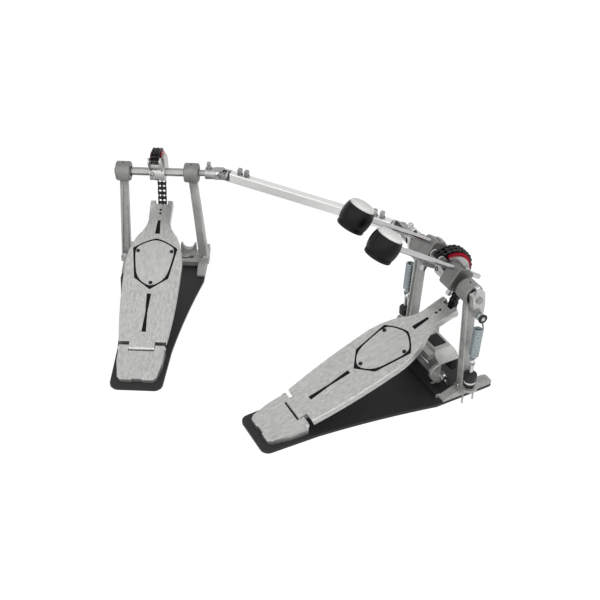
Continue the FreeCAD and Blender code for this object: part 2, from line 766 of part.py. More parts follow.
# Posts: two castings splayed out to the rails, hollowed front and back, each with a bearing
# housing across its top.
def post(name, extra, side):
    body = new_body(name)
    foot = side * (size.post_foot_reach + extra)
    head = side * (size.post_reach + extra)
    foot_half = size.post_foot_width / 2
    head_half = size.post_width / 2
    front_view = [
        (foot - foot_half, post_foot), (foot + foot_half, post_foot),
        (head + head_half, size.axle_height), (head - head_half, size.axle_height),
    ]
    pad(body, "XZ", -size.post_back, size.post_front, front_view)
    tall = 0.5 * size.axle_height.value
    soften(body, "Fillet", size.post_edge, lambda edge: edge.BoundBox.ZLength > tall)
    barrel = Circle(0.0, size.axle_height, size.housing_diameter / 2)
    left = head - size.housing_length / 2
    right = head + size.housing_length / 2
    pad(body, "YZ", left, right, barrel)
    rims = (left.value, right.value)
    soften(body, "Fillet", size.housing_edge, lambda edge: on_rim(edge, rims))
    hollow_foot = foot_half - size.post_border
    hollow_head = head_half - size.post_border
    low = post_foot + 2 * size.post_border
    high = size.axle_height - size.housing_diameter / 2 - 2 * size.post_border
    hollow = [
        (foot - hollow_foot, low), (foot + hollow_foot, low),
        (head + hollow_head, high), (head - hollow_head, high),
    ]
    cut(body, "XZ", -size.post_back - 1.0, size.post_groove - size.post_back, hollow)
    cut(body, "XZ", size.post_front - size.post_groove, size.post_front + 1.0, hollow)
    cut(body, "YZ", left - 1.0, right + 1.0, Circle(0.0, size.axle_height, size.housing_bore / 2))
    seat = Circle(0.0, size.axle_height, size.bearing_diameter / 2 + size.seat_gap)
    if side > 0:
        cut(body, "YZ", right - size.bearing_width, right + 1.0, seat)
    else:
        cut(body, "YZ", left - 1.0, left + size.bearing_width, seat)
    oil = Circle(head + side * (size.housing_length / 2 - size.bearing_width - size.oil_hole), 0.0,
                 size.oil_hole / 2)
    top = size.axle_height + size.housing_diameter / 2
    cut(body, "XY", size.axle_height + size.housing_bore / 2 - 1.0, top + 1.0, oil)
    return body


def on_rim(edge, places):
    box = edge.BoundBox
    return box.XLength < 1e-4 and min(abs(box.XMin - place) for place in places) < 1e-4


def bearing(name, extra, side, bore):
    body = new_body(name)
    outer = side * (size.post_reach + extra + size.housing_length / 2)
    inner = outer - side * size.bearing_width
    rings = [Circle(0.0, size.axle_height, size.bearing_diameter / 2),
             Circle(0.0, size.axle_height, bore / 2 + size.run_gap)]
    if side > 0:
        pad(body, "YZ", inner, outer, *rings)
    else:
        pad(body, "YZ", outer, inner, *rings)
    return body


def posts_and_bearings(prefix, frame, extra, left_bore):
    posts = [post(prefix + "_right_post", 0.0, 1), post(prefix + "_left_post", extra, -1)]
    keep(prefix + "_posts", group(prefix + "_posts", posts), frame)
    rings = [bearing(prefix + "_right_bearing", 0.0, 1, size.journal_diameter),
             bearing(prefix + "_left_bearing", extra, -1, left_bore)]
    keep(prefix + "_bearings", group(prefix + "_bearings", rings), frame)


# Heel plate: a sloping shell on the base, notched for the footboard's knuckle.
def heel_plate(prefix, frame):
    body = new_body(prefix + "_heel_plate")
    heel_half = size.heel_plate_heel_width / 2
    half = size.heel_plate_width / 2
    notch_half = size.knuckle_width / 2 + 0.4
    corner = size.heel_plate_corner
    dip = size.heel_dip_width / 2
    rear = heel_plate_end
    front = heel_plate_start
    outline = both_sides([
        (dip - size.heel_dip, rear + size.heel_dip), (dip, rear), (heel_half - corner, rear),
        (heel_half, rear + corner), (half - 0.5, front - size.heel_plate_knee), (half, front),
        (notch_half, front), (notch_half, front - size.heel_notch_depth),
    ])
    pad(body, "XY", plate_top, size.heel_plate_height + 1.0, outline)
    slope = (size.heel_plate_height - size.heel_plate_rear_height) / size.heel_plate_length
    reach = half + 5.0
    above = [
        (rear - 5.0, size.heel_plate_rear_height - 5.0 * slope),
        (front + 5.0, size.heel_plate_height + 5.0 * slope),
        (front + 5.0, size.heel_plate_height + 9.0), (rear - 5.0, size.heel_plate_height + 9.0),
    ]
    cut(body, "YZ", -reach, reach, above)
    skin = size.heel_plate_skin
    start = rear + 3 * skin
    stop = front - size.heel_plate_lug
    hollow = [
        (start, plate_top - 1.0), (stop, plate_top - 1.0),
        (stop, size.heel_plate_height - skin - slope * size.heel_plate_lug),
        (start, size.heel_plate_rear_height - skin + 3 * skin * slope),
    ]
    cut(body, "YZ", skin - heel_half, heel_half - skin, hollow)
    pin = Circle(-size.hinge_setback, size.hinge_height, size.hinge_pin_diameter / 2 + size.run_gap)
    cut(body, "YZ", -reach, reach, pin)
    clearance = Circle(-size.hinge_setback, size.hinge_height, size.board_top + 0.4)
    cut(body, "YZ", -notch_half, notch_half, clearance)
    keep(prefix + "_heel_plate", body, frame)


# Footboard: a cast shell hinged at the heel, with a shield recess, two slots and a forked toe.
def from_heel(place):
    return size.board_heel_gap + place


def board_outline(inset, toe_side):
    heel = size.board_heel_width / 2 - inset
    wide = size.board_width / 2 - inset
    shoulder = size.board_shoulder_width / 2 - inset
    neck = size.board_neck_width / 2 - inset
    return [
        (wide, from_heel(size.board_widest), size.board_shoulder_bow),
        (shoulder, from_heel(size.board_shoulder), -size.board_neck_bow),
        (neck, from_heel(size.board_neck)),
    ] + toe_side, heel


def footboard(prefix, frame):
    body = new_body(prefix + "_footboard")
    top = size.board_top
    bottom = top - size.board_thickness
    toe = from_heel(size.board_length)
    toe_half = size.board_toe_width / 2
    notch_half = size.toe_notch_width / 2
    corner = size.toe_corner
    sides, heel = board_outline(0.0, [
        (toe_half, toe - corner, 0.29 * corner), (toe_half - corner, toe), (notch_half, toe),
        (notch_half, toe - size.toe_notch_depth),
    ])
    pad(body, "XY", bottom, top, both_sides([(heel, from_heel(0.0), size.board_side_bow)] + sides))
    soften(body, "Fillet", size.board_edge, level_edge(top))
    inner_sides, inner_heel = board_outline(
        size.board_wall, [(size.board_neck_width / 2 - size.board_wall, toe - size.board_hollow_end)])
    hollow = [(inner_heel, from_heel(size.board_hollow_end), size.board_side_bow)] + inner_sides
    cut(body, "XY", bottom - 1.0, top - size.board_skin, both_sides(hollow))
    knuckle_half = size.knuckle_width / 2
    pad(body, "YZ", -knuckle_half, knuckle_half, Circle(0.0, 0.0, top))
    pad(body, "YZ", -knuckle_half, knuckle_half, rectangle(0.0, -top, from_heel(1.0), top))
    reach = size.board_width
    cut(body, "YZ", -reach, reach, Circle(0.0, 0.0, size.hinge_pin_diameter / 2 + size.run_gap))
    lug = [
        (toe_pin_y + size.toe_lug_radius, -size.toe_pin_drop), (toe_pin_y + toe_lug_front, bottom + 1.0),
        (toe_pin_y - size.toe_lug_radius, bottom + 1.0),
        (toe_pin_y - size.toe_lug_radius, -size.toe_pin_drop, size.toe_lug_radius),
    ]
    near = size.toe_lug_gap / 2
    far = near + size.toe_lug_width
    pad(body, "YZ", near, far, lug)
    pad(body, "YZ", -far, -near, lug)
    cut(body, "YZ", -far - 1.0, far + 1.0,
        Circle(toe_pin_y, -size.toe_pin_drop, size.toe_pin_diameter / 2 + size.run_gap))
    cut(body, "XY", top - size.shield_depth, top + 1.0, shield(0.0))
    slots = [both_sides([
        (size.far_slot_wide / 2, from_heel(size.far_slot_start)),
        (size.far_slot_narrow / 2, from_heel(size.far_slot_end)),
    ])]
    middle = (size.near_slot_start + size.near_slot_end) / 2
    slots.append(both_sides([
        (size.near_slot_wide / 2, from_heel(size.near_slot_start)),
        (size.near_slot_waist / 2, from_heel(middle)),
        (size.near_slot_wide / 2, from_heel(size.near_slot_end)),
    ]))
    cut(body, "XY", top - size.slot_depth, top + 1.0, *slots)
    holes = [Circle(0.0, from_heel(place), size.toe_hole_diameter / 2)
             for place in (size.toe_hole_near, size.toe_hole_far)]
    holes += [Circle(x, y, size.screw_diameter / 2 + size.run_gap) for x, y in screw_places()]
    cut(body, "XY", bottom - 1.0, top + 1.0, *holes)
    keep(prefix + "_footboard", body, frame * to_board)


toe_pin_y = from_heel(size.board_length) - size.toe_pin_back
toe_lug_front = size.toe_pin_back - 0.5


def shield(inset):
    """Outline of the shield, drawn in from the recess by the inset."""
    top = from_heel(size.shield_top) - inset
    point = from_heel(size.shield_point) + inset
    wide = size.shield_width / 2 - inset
    waist = size.shield_waist_width / 2 - inset
    shoulder = from_heel(size.shield_shoulder) - 0.3 * inset
    low = from_heel(size.shield_waist)
    return [
        (0.0, point), (waist, low), (wide, shoulder, size.shield_brow), (0.0, top, size.shield_brow),
        (-wide, shoulder), (-waist, low),
    ]


def screw_places():
    far = from_heel(size.plate_screw_far)
    return [(size.plate_screw_reach, far), (-size.plate_screw_reach, far),
            (as_dim(0.0), from_heel(size.plate_screw_near))]


def traction_plate(prefix, frame):
    body = new_body(prefix + "_traction_plate")
    face = size.board_top + size.shield_proud
    floor = size.board_top - size.shield_depth
    holes = [Circle(x, y, size.screw_diameter / 2 + size.run_gap) for x, y in screw_places()]
    pad(body, "XY", floor, face, shield(size.shield_groove), *holes)
    keep(prefix + "_traction_plate", body, frame * to_board)


def plate_screws(prefix, frame, screw):
    face = size.board_top + size.shield_proud
    copies = [copy_of(screw, moved(x.value, y.value, face.value)) for x, y in screw_places()]
    keep(prefix + "_plate_screws", group(prefix + "_plate_screws", copies), frame * to_board)


def plate_screw():
    body = new_body("plate_screw")
    pad(body, "XY", -size.screw_length, 0.0, Circle(0.0, 0.0, size.screw_diameter / 2))
    pad(body, "XY", 0.0, size.screw_head_height, Circle(0.0, 0.0, size.screw_head / 2))
    soften(body, "Fillet", size.screw_head_height / 2, level_edge(size.screw_head_height))
    return body


def footboard_pins(prefix, frame):
    hinge = new_body(prefix + "_hinge_pin")
    half = size.heel_plate_width / 2 - 1.0
    pad(hinge, "YZ", -half, half, Circle(0.0, 0.0, size.hinge_pin_diameter / 2))
    toe = new_body(prefix + "_toe_pin")
    half = size.toe_lug_gap / 2 + size.toe_lug_width
    pad(toe, "YZ", -half, half, Circle(toe_pin_y, -size.toe_pin_drop, size.toe_pin_diameter / 2))
    keep(prefix + "_footboard_pins", group(prefix + "_footboard_pins", [hinge, toe]), frame * to_board)


# Axles. The primary axle is hexagonal, runs in the right housing and ends in a spigot inside the
# hollow sleeve that carries the second beater. The slave axle runs through both its housings.
def primary_axle_bar():
    body = new_body("right_axle")
    pad(body, "YZ", -size.axle_hex_left, size.axle_hex_right, hexagon(size.axle_flats, 0.0))
    pad(body, "YZ", size.axle_hex_right, size.axle_end, Circle(0.0, 0.0, size.journal_diameter / 2))
    pad(body, "YZ", -size.spigot_end, -size.axle_hex_left, Circle(0.0, 0.0, size.spigot_diameter / 2))
    keep("right_axle", body, primary_axle)


def sleeve():
    body = new_body("left_axle")
    end = size.primary_joint_reach - size.fork_base - size.fork_root
    pad(body, "YZ", -end, -size.sleeve_start, Circle(0.0, 0.0, size.sleeve_diameter / 2))
    bore = Circle(0.0, 0.0, size.spigot_diameter / 2 + size.run_gap)
    cut(body, "YZ", -size.sleeve_floor, 1.0 - size.sleeve_start, bore)
    keep("left_axle", body, primary_axle)


def slave_axle_bar():
    body = new_body("slave_axle")
    end = size.slave_joint_reach - size.fork_base - size.fork_root
    pad(body, "YZ", -size.axle_hex_right, size.axle_hex_right, hexagon(size.axle_flats, 0.0))
    pad(body, "YZ", size.axle_hex_right, end, Circle(0.0, 0.0, size.journal_diameter / 2))
    pad(body, "YZ", -size.slave_axle_tail, -size.axle_hex_right, Circle(0.0, 0.0, size.journal_diameter / 2))
    keep("slave_axle", body, slave_axle)


# Chain. Narrow links carry the rollers, wide links carry the pins; both are three plates deep
# across two rows of rollers.
link_step = math.degrees(2 * math.asin(size.chain_pitch.value / 2 / size.chain_radius.value))
inner_plate_near = size.chain_plate / 2 + size.chain_slack
inner_plate_far = inner_plate_near + size.chain_plate + size.chain_roller_length
outer_plate = inner_plate_far + size.chain_plate + size.chain_slack
chain_half_width = outer_plate + size.chain_plate


def link_outline():
    """Side view of a link plate, from the pin at the origin to the next pin along y."""
    half = size.chain_plate_height / 2
    near = as_dim(0.0)
    return [(near, -half), (size.chain_pitch, -half, half), (size.chain_pitch, half), (near, half, half)]


def narrow_row():
    """One row of a narrow link: two plates and two rollers, bored for the pins."""
    body = new_body("chain_narrow_row")
    far = inner_plate_far + size.chain_plate
    roller = size.chain_roller / 2
    rollers = [Circle(0.0, 0.0, roller), Circle(size.chain_pitch, 0.0, roller)]
    bore = size.chain_pin / 2 + size.chain_slack
    pad(body, "YZ", inner_plate_near, inner_plate_near + size.chain_plate, link_outline())
    pad(body, "YZ", inner_plate_near, far, rollers[0])
    pad(body, "YZ", inner_plate_near, far, rollers[1])
    pad(body, "YZ", inner_plate_far, far, link_outline())
    cut(body, "YZ", inner_plate_near - 1.0, far + 1.0,
        Circle(0.0, 0.0, bore), Circle(size.chain_pitch, 0.0, bore))
    return body


def wide_link():
    """A wide link: two outer plates, a middle plate and the two pins through them."""
    body = new_body("chain_wide_link")
    pin = size.chain_pin / 2
    pad(body, "YZ", -size.chain_plate / 2, size.chain_plate / 2, link_outline())
    pad(body, "YZ", -chain_half_width, chain_half_width, Circle(0.0, 0.0, pin))
    pad(body, "YZ", -chain_half_width, chain_half_width, Circle(size.chain_pitch, 0.0, pin))
    pad(body, "YZ", outer_plate, chain_half_width, link_outline())
    pad(body, "YZ", -chain_half_width, -outer_plate, link_outline())
    return body


def chain_pins():
    """Pins of the chain in the axle's frame, from the toe pin up the strand and round the cam."""
    tilt = math.radians(size.board_tilt.value)
    pitch = size.chain_pitch.value
    radius = size.chain_radius.value
    along = toe_pin_y.value
    below = size.toe_pin_drop.value
    toe_y = along * math.cos(tilt) + below * math.sin(tilt) - size.hinge_setback.value
    toe_z = along * math.sin(tilt) - below * math.cos(tilt) + size.hinge_height.value - size.axle_height.value
    toe = V(0, toe_y, toe_z)
    far = toe.Length
    tangent_angle = math.atan2(toe.z, toe.y) + math.acos(radius / far)
    tangent = V(0, math.cos(tangent_angle), math.sin(tangent_angle)) * radius
    run = tangent - toe
    step = V(run) * (pitch / run.Length)
    whole = int(run.Length / pitch)
    pins = [toe + step * number for number in range(whole + 1)]
    low = tangent_angle
    high = tangent_angle + 2 * pitch / radius
    for attempt in range(60):
        angle = (low + high) / 2
        point = V(0, math.cos(angle), math.sin(angle)) * radius
        if (point - pins[-1]).Length < pitch:
            low = angle
        else:
            high = angle
    wrap = int(size.chain_wrap_links.value)
    turn = math.radians(link_step)
    for number in range(wrap + 1):
        place = angle + number * turn
        pins.append(V(0, math.cos(place), math.sin(place)) * radius)
    return pins, whole + 1


chain, strand_links = chain_pins()
anchor_angle = math.degrees(math.atan2(chain[-1].z, chain[-1].y))


def chain_stretch(name, frame, first, last, row, wide):
    """The links between two pins; the link at the toe is narrow and they alternate from there."""
    members = []
    for number in range(first, last):
        run = chain[number + 1] - chain[number]
        place = Placement(chain[number], Rotation(X_AXIS, math.degrees(math.atan2(run.z, run.y))))
        if number % 2:
            members.append(copy_of(wide, place))
            continue
        members.append(copy_of(row, place))
        other_row = place * Placement(V(0, size.chain_pitch.value, 0), Rotation(Z_AXIS, 180))
        members.append(copy_of(row, other_row))
    keep(name, group(name, members), frame)


# Cam: a grooved sector that the chain lies in, carried by a hub with the bracket that holds the
# chain's last pin.
cam_turn = size.cam_lean + (90.0 - anchor_angle)
cam_leaned = turned(X_AXIS, -cam_turn.value)
cam_groove = chain_half_width + 0.6
cam_side = cam_groove + size.cam_lip


def cam(prefix, frame):
    body = new_body(prefix + "_cam")
    half_step = math.cos(math.radians(link_step / 2))
    track = size.chain_radius * half_step - size.chain_plate_height / 2 - size.cam_clearance
    revolve(body, "XZ", "H_Axis", [
        (-cam_side, size.cam_inner_radius), (cam_side, size.cam_inner_radius),
        (cam_side, size.cam_lip_radius), (cam_groove, size.cam_lip_radius), (cam_groove, track),
        (-cam_groove, track), (-cam_groove, size.cam_lip_radius), (-cam_side, size.cam_lip_radius),
    ], size.cam_sweep)
    keep(prefix + "_cam", body, frame * cam_leaned)


def cam_hub(prefix, frame):
    hub = new_body(prefix + "_cam_drum")
    disc = cam_side + size.seat_gap
    drum = size.cam_inner_radius - size.seat_gap
    revolve(hub, "XZ", "H_Axis", [
        (-cam_side, 0.0), (disc + size.cam_disc, 0.0), (disc + size.cam_disc, size.cam_disc_radius),
        (disc, size.cam_disc_radius), (disc, drum), (-cam_side, drum),
    ], size.cam_sweep)
    pad(hub, "YZ", -size.cam_barrel_tail, disc + size.cam_disc, Circle(0.0, 0.0, size.cam_barrel_radius))
    bore = hexagon(size.axle_flats + 2 * size.seat_gap, cam_turn)
    cut(hub, "YZ", -size.cam_barrel_tail - 1.0, disc + size.cam_disc + 1.0, bore)
    cut(hub, "XY", -size.cam_barrel_radius - 1.0, -size.cam_barrel_radius + 4.0,
        Circle(0.0, 0.0, size.bolt_diameter / 2))
    hub.Placement = cam_leaned
    bracket = new_body(prefix + "_chain_bracket")
    near = chain_half_width + 0.8
    far = near + size.anchor_cheek
    half = size.anchor_half_height
    cheek = [(size.axle_flats, -half), (size.chain_radius, -half, half),
             (size.chain_radius, half), (size.axle_flats, half)]
    pad(bracket, "YZ", -far, far, Circle(size.chain_radius, 0.0, size.chain_pin / 2))
    pad(bracket, "YZ", near, far, cheek)
    pad(bracket, "YZ", -far, -near, cheek)
    pad(bracket, "YZ", -far, far, Circle(size.anchor_bar_reach, 0.0, size.anchor_bar_radius))
    bracket.Placement = turned(X_AXIS, anchor_angle)
    whole = doc.addObject("Part::MultiFuse", prefix + "_cam_hub")
    whole.Shapes = [hub, bracket]
    keep(prefix + "_cam_hub", whole, frame)


# Drum-key bolt: a round collar and a square head on a short shank.
def key_bolt():
    body = new_body("key_bolt")
    half = size.bolt_square / 2
    top = size.bolt_collar_height + size.bolt_square_height
    pad(body, "XY", -size.bolt_shank, 0.0, Circle(0.0, 0.0, size.bolt_diameter / 2))
    pad(body, "XY", 0.0, size.bolt_collar_height, Circle(0.0, 0.0, size.bolt_collar / 2))
    pad(body, "XY", size.bolt_collar_height, top, rectangle(-half, -half, half, half))
    soften(body, "Chamfer", size.bolt_square / 8, level_edge(top))
    return body


bolt_hole = size.bolt_diameter / 2 + size.seat_gap
bolt_depth = size.bolt_shank + 0.3


# Beater hubs: rounded castings on the axles, drilled for the rods and clamped from behind.
def beater_hub(name, start, stop, rod_x, offset, bore):
    body = new_body(name)
    front = offset + size.hub_front
    left = min(start, stop, key=lambda place: place.value)
    right = max(start, stop, key=lambda place: place.value)
    pad(body, "YZ", left, right, rectangle(-size.hub_back, -size.hub_below, front, size.hub_above))
    soften(body, "Fillet", size.hub_corner, lambda edge: edge.BoundBox.XLength > 5)
    soften(body, "Fillet", size.hub_edge, lambda edge: edge.BoundBox.XLength < 1e-4)
    cut(body, "YZ", left - 1.0, right + 1.0, bore)
    rod = Circle(rod_x, offset, size.rod_diameter / 2 + size.run_gap)
    cut(body, "XY", -size.hub_below - 1.0, size.hub_above + 1.0, rod)
    middle = (left + right) / 2
    boss = oblong(middle, 0.0, size.hub_slot_length + 5.0, size.hub_slot_width + 5.0)
    pad(body, "XZ", front - 1.0, front + size.hub_boss, boss)
    slot = oblong(middle, 0.0, size.hub_slot_length, size.hub_slot_width)
    cut(body, "XZ", front - size.hub_slot_depth, front + size.hub_boss + 1.0, slot)
    cut(body, "XZ", -size.hub_back - 1.0, bolt_depth - size.hub_back, Circle(middle, 0.0, bolt_hole))
    keep(name, body, primary_axle * upright)
    return middle


def hub_bolt_place(middle):
    return upright * Placement(V(middle.value, -size.hub_back.value, 0), Rotation(X_AXIS, 90))


# Beaters: a rod, a turned rubber-and-plastic body across its end and a felt face.
def beater(prefix, rod_x, offset, reach):
    frame = primary_axle * upright * moved(rod_x.value, offset.value, 0)
    rod = new_body(prefix + "_beater_rod")
    pad(rod, "XY", -size.rod_tail, reach + size.rod_in_beater, Circle(0.0, 0.0, size.rod_diameter / 2))
    keep(prefix + "_beater_rod", rod, frame)
    body = new_body(prefix + "_beater_body")
    lip = size.beater_lip_depth - size.beater_back
    neck = lip + size.beater_groove
    seat = size.felt_diameter / 2 + size.seat_gap
    bulge = size.beater_diameter / 2 - (size.beater_shoulder + size.beater_mouth) / 4
    revolve(body, "XY", "V_Axis", [
        (0.0, -size.beater_back), (size.beater_lip / 2 - 2.0, -size.beater_back, 0.6),
        (size.beater_lip / 2, 2.0 - size.beater_back), (size.beater_lip / 2, lip),
        (size.beater_neck / 2, lip),
        (size.beater_neck / 2, neck), (size.beater_shoulder / 2, neck, bulge),
        (size.beater_mouth / 2, size.beater_front), (seat, size.beater_front),
        (seat, size.beater_front - size.felt_bed), (0.0, size.beater_front - size.felt_bed),
    ])
    cut(body, "XY", -size.beater_diameter, size.rod_in_beater + size.seat_gap,
        Circle(0.0, 0.0, size.rod_diameter / 2 + size.seat_gap))
    keep(prefix + "_beater_body", body, frame * moved(0, 0, reach.value))
    felt = new_body(prefix + "_beater_felt")
    back = size.beater_front - size.felt_bed
    radius = size.felt_diameter / 2
    edge = back + size.felt_depth
    crown = edge + size.felt_crown
    revolve(felt, "XY", "V_Axis", [
        (0.0, back), (radius, back), (radius, edge, size.felt_crown / 2.4),
        (0.3 * radius, crown), (0.0, crown),
    ])
    keep(prefix + "_beater_felt", felt, frame * moved(0, 0, reach.value))


# Rockers: arms on the axle ends, each with a spool that a spring pulls down.
rocker_leaned = turned(X_AXIS, size.rocker_swing.value)
rocker_flat = size.rocker_ring + 0.6


def rocker(name, start, side, bore):
    body = new_body(name)
    far = start + side * size.rocker_width
    rim = far + side * size.spool_length
    end = rim + side * size.spool_rim_width
    span = lambda near, stop: (near, stop) if side > 0 else (stop, near)
    half = size.rocker_arm_width / 2
    tip = half + 1.5
    block = size.rocker_ring
    arm = [(-tip, -size.rocker_arm, tip), (tip, -size.rocker_arm), (block, -block), (block, rocker_flat),
           (-block, rocker_flat), (-block, -block)]
    pad(body, "YZ", *span(start, far), arm)
    pad(body, "YZ", *span(far, rim), Circle(0.0, -size.rocker_arm, size.spool_radius))
    pad(body, "YZ", *span(rim, end), Circle(0.0, -size.rocker_arm, size.spool_rim))
    cut(body, "YZ", *span(start - side * 1.0, far + side * 1.0), Circle(0.0, 0.0, bore / 2 + size.seat_gap))
    middle = (start + far) / 2
    cut(body, "XY", rocker_flat - bolt_depth, rocker_flat + 1.0, Circle(middle, 0.0, bolt_hole))
    keep(name, body, primary_axle * rocker_leaned)
    return rocker_leaned * moved(middle.value, 0, rocker_flat.value)


# Universal joints: a fork on each shaft end and a cross between them. A fork's frame has its
# pins along z and its shaft along x, away from the middle of the joint.
fork_back = size.fork_base + size.fork_root


def fork(name, hole):
    body = new_body(name)
    near = size.fork_ear_gap / 2
    far = near + size.fork_ear
    half = size.fork_ear_width / 2
    ear = [(0.0, -half), (size.fork_base + 1.0, -half), (size.fork_base + 1.0, half), (0.0, half, half)]
    pad(body, "YZ", size.fork_base, fork_back, Circle(0.0, 0.0, size.fork_radius))
    pad(body, "XY", near, far, ear)
    pad(body, "XY", -far, -near, ear)
    cut(body, "XY", -far - 1.0, far + 1.0, Circle(0.0, 0.0, hole))
    return body


def axle_fork(name, frame, place, bore):
    body = fork(name, size.cross_pin / 2 + size.run_gap)
    radius = bore / 2 + 4.4
    flat = radius - 0.6
    stop = fork_back + size.fork_collar
    middle = fork_back + size.fork_collar / 2
    pad(body, "YZ", fork_back, stop, Circle(0.0, 0.0, radius))
    cut(body, "YZ", fork_back, stop + 1.0, Circle(0.0, 0.0, bore / 2 + size.seat_gap))
    cut(body, "YZ", fork_back, stop + 1.0, rectangle(-radius, flat, radius, radius + 1.0))
    cut(body, "XY", flat - bolt_depth, flat + 1.0, Circle(middle, 0.0, bolt_hole))
    keep(name, body, frame * place)
    return place * moved(middle.value, 0, flat.value)


def tube_fork(name, frame, length):
    body = fork(name, size.cross_pin / 2 + size.cross_slack)
    tall = size.tube_tall / 2 - size.tube_wall - size.run_gap
    wide = size.tube_width / 2 - size.tube_wall - size.run_gap
    pad(body, "YZ", fork_back, fork_back + length, rectangle(-tall, -wide, tall, wide))
    keep(name, body, frame * turned(X_AXIS, 90))


def cross(name, frame):
    body = new_body(name)
    half = size.cross_core / 2
    end = size.fork_ear_gap / 2 + size.fork_ear
    pin = Circle(0.0, 0.0, size.cross_pin / 2)
    pad(body, "XY", -half, half, rectangle(-half, -half, half, half))
    soften(body, "Chamfer", size.cross_core / 6, lambda edge: True)
    pad(body, "XY", -end, end, pin)
    pad(body, "XZ", -end, end, pin)
    keep(name, body, frame)


def drive_tube(bolt):
    body = new_body("drive_tube")
    wide = size.tube_width / 2
    tall = size.tube_tall / 2
    start = size.tube_gap
    stop = size.shaft_length - size.tube_gap
    pad(body, "YZ", start, stop, rectangle(-wide, -tall, wide, tall))
    soften(body, "Fillet", size.tube_edge, lambda edge: edge.BoundBox.XLength > size.tube_width.value)
    inner_wide = wide - size.tube_wall
    inner_tall = tall - size.tube_wall
    cut(body, "YZ", start - 1.0, stop + 1.0, rectangle(-inner_wide, -inner_tall, inner_wide, inner_tall))
    places = [start + size.tube_bolt_first, start + size.tube_bolt_second,
              stop - size.tube_bolt_first, stop - size.tube_bolt_second]
    cut(body, "XY", inner_tall - 1.0, tall + 1.0, *[Circle(place, 0.0, bolt_hole) for place in places])
    keep("drive_tube", body, shaft)
    bolts = [copy_of(bolt, moved(place.value, 0, tall.value)) for place in places]
    keep("drive_tube_bolts", group("drive_tube_bolts", bolts), shaft)


# Hoop clamp: a jaw on a pivot screw across the primary frame, with rubber where it grips.
def hoop_clamp():
    half = size.clamp_width / 2
    pin_y = -size.clamp_pin_setback
    pin_z = size.clamp_pin_height
    back = -size.jaw_wall_setback
    wall = back + size.jaw_wall
    fillet = 6.0
    jaw = new_body("clamp_jaw")
    pad(jaw, "YZ", -half, half, [
        (back, size.jaw_wall_foot), (back, size.jaw_top - fillet, -0.293 * fillet),
        (back + fillet, size.jaw_top),
        (size.jaw_nose - fillet, size.jaw_top, -0.293 * fillet), (size.jaw_nose, size.jaw_top - fillet),
        (size.jaw_nose, size.jaw_mouth), (wall, size.jaw_mouth), (wall, size.jaw_wall_foot),
    ])
    bar = size.jaw_bar_reach
    pad(jaw, "YZ", -bar, bar, rectangle(back - size.jaw_bar, size.jaw_mouth, back + 1.0,
                                        size.jaw_mouth + size.jaw_bar_height))
    edge = half - size.jaw_slope
    fall = size.jaw_top - size.jaw_slope_drop
    shoulder = [(edge, size.jaw_top), (half + 1.0, fall),
                (half + 1.0, size.jaw_top + 1.0), (edge, size.jaw_top + 1.0)]
    cut(jaw, "XZ", back - 1.0, size.jaw_nose + 1.0, shoulder, mirrored(shoulder))
    corner = size.jaw_arch_corner
    foot = size.jaw_wall_foot
    side = size.jaw_arch
    arch = [(side, size.jaw_arch_top), (side, foot + corner, -0.293 * corner), (side + corner, foot),
            (side + corner, foot - 1.0)]
    cut(jaw, "XZ", back - 1.0, wall + 1.0, both_sides(arch))
    knuckle = size.clamp_lug_radius
    boss = [(wall - 1.0, pin_z - knuckle), (pin_y, pin_z - knuckle, knuckle), (pin_y, pin_z + knuckle),
            (wall - 1.0, pin_z + knuckle)]
    pad(jaw, "YZ", half - size.jaw_boss, half, boss)
    pad(jaw, "YZ", -half, size.jaw_boss - half, boss)
    bore_radius = size.clamp_pin_diameter / 2 + size.run_gap
    cut(jaw, "YZ", -half - 1.0, half + 1.0, Circle(pin_y, pin_z, bore_radius))
    cap_start = size.jaw_nose - fillet - 1.0 - size.cap_depth
    cap_stop = size.jaw_nose - fillet - 1.0
    floor = size.jaw_top - size.cap_thickness
    gap = size.seat_gap
    cap_side = size.cap_reach
    cut(jaw, "XY", floor, size.jaw_top + 1.0, rectangle(-cap_side, cap_start, cap_side, cap_stop))
    keep("clamp_jaw", jaw, primary)
    cap = new_body("clamp_cap")
    pad(cap, "XY", floor, size.jaw_top + 0.8,
        rectangle(gap - cap_side, cap_start + gap, cap_side - gap, cap_stop - gap))
    grip = new_body("clamp_grip")
    grip_half = half - size.pad_edge
    pad(grip, "YZ", -grip_half, grip_half, rectangle(size.jaw_nose - 0.5 - size.pad_depth,
        size.jaw_mouth - size.pad_thickness, size.jaw_nose - 0.5, size.jaw_mouth))
    keep("clamp_pads", group("clamp_pads", [cap, grip]), primary)
    screw = new_body("clamp_wing_screw")
    head = half + 0.4
    neck = head + size.wing_hub_length
    tip = head + size.wing_length
    pad(screw, "YZ", -half - size.screw_tail, head, Circle(0.0, 0.0, size.clamp_pin_diameter / 2))
    pad(screw, "YZ", head, neck, Circle(0.0, 0.0, size.wing_hub_radius))
    reach = size.wing_reach
    wing = [(head + 0.5, 0.0), (neck, 0.0), (tip, reach - 4.0), (tip, reach, 1.6),
            (tip - 5.0, reach), (head + 0.5, size.wing_hub_radius - 1.0)]
    lower = [(head + 0.5, 0.0), (head + 0.5, 1.0 - size.wing_hub_radius), (tip - 5.0, -reach, 1.6),
             (tip, -reach), (tip, 4.0 - reach), (neck, 0.0)]
    for plate in (wing, lower):
        pad(screw, "XZ", -size.wing_thickness / 2, size.wing_thickness / 2, plate)
    pin = primary * moved(0, pin_y.value, pin_z.value)
    keep("clamp_wing_screw", screw, pin * turned(X_AXIS, size.wing_turn.value))


# Spring adjusters: an eye bolt through each ear with a knurled nut, a nylon washer and a lock nut.
ear_top = size.ear_height + size.ear_thickness
spring_places = (size.spring_reach.value, -size.spring_reach.value - size.left_extra.value)


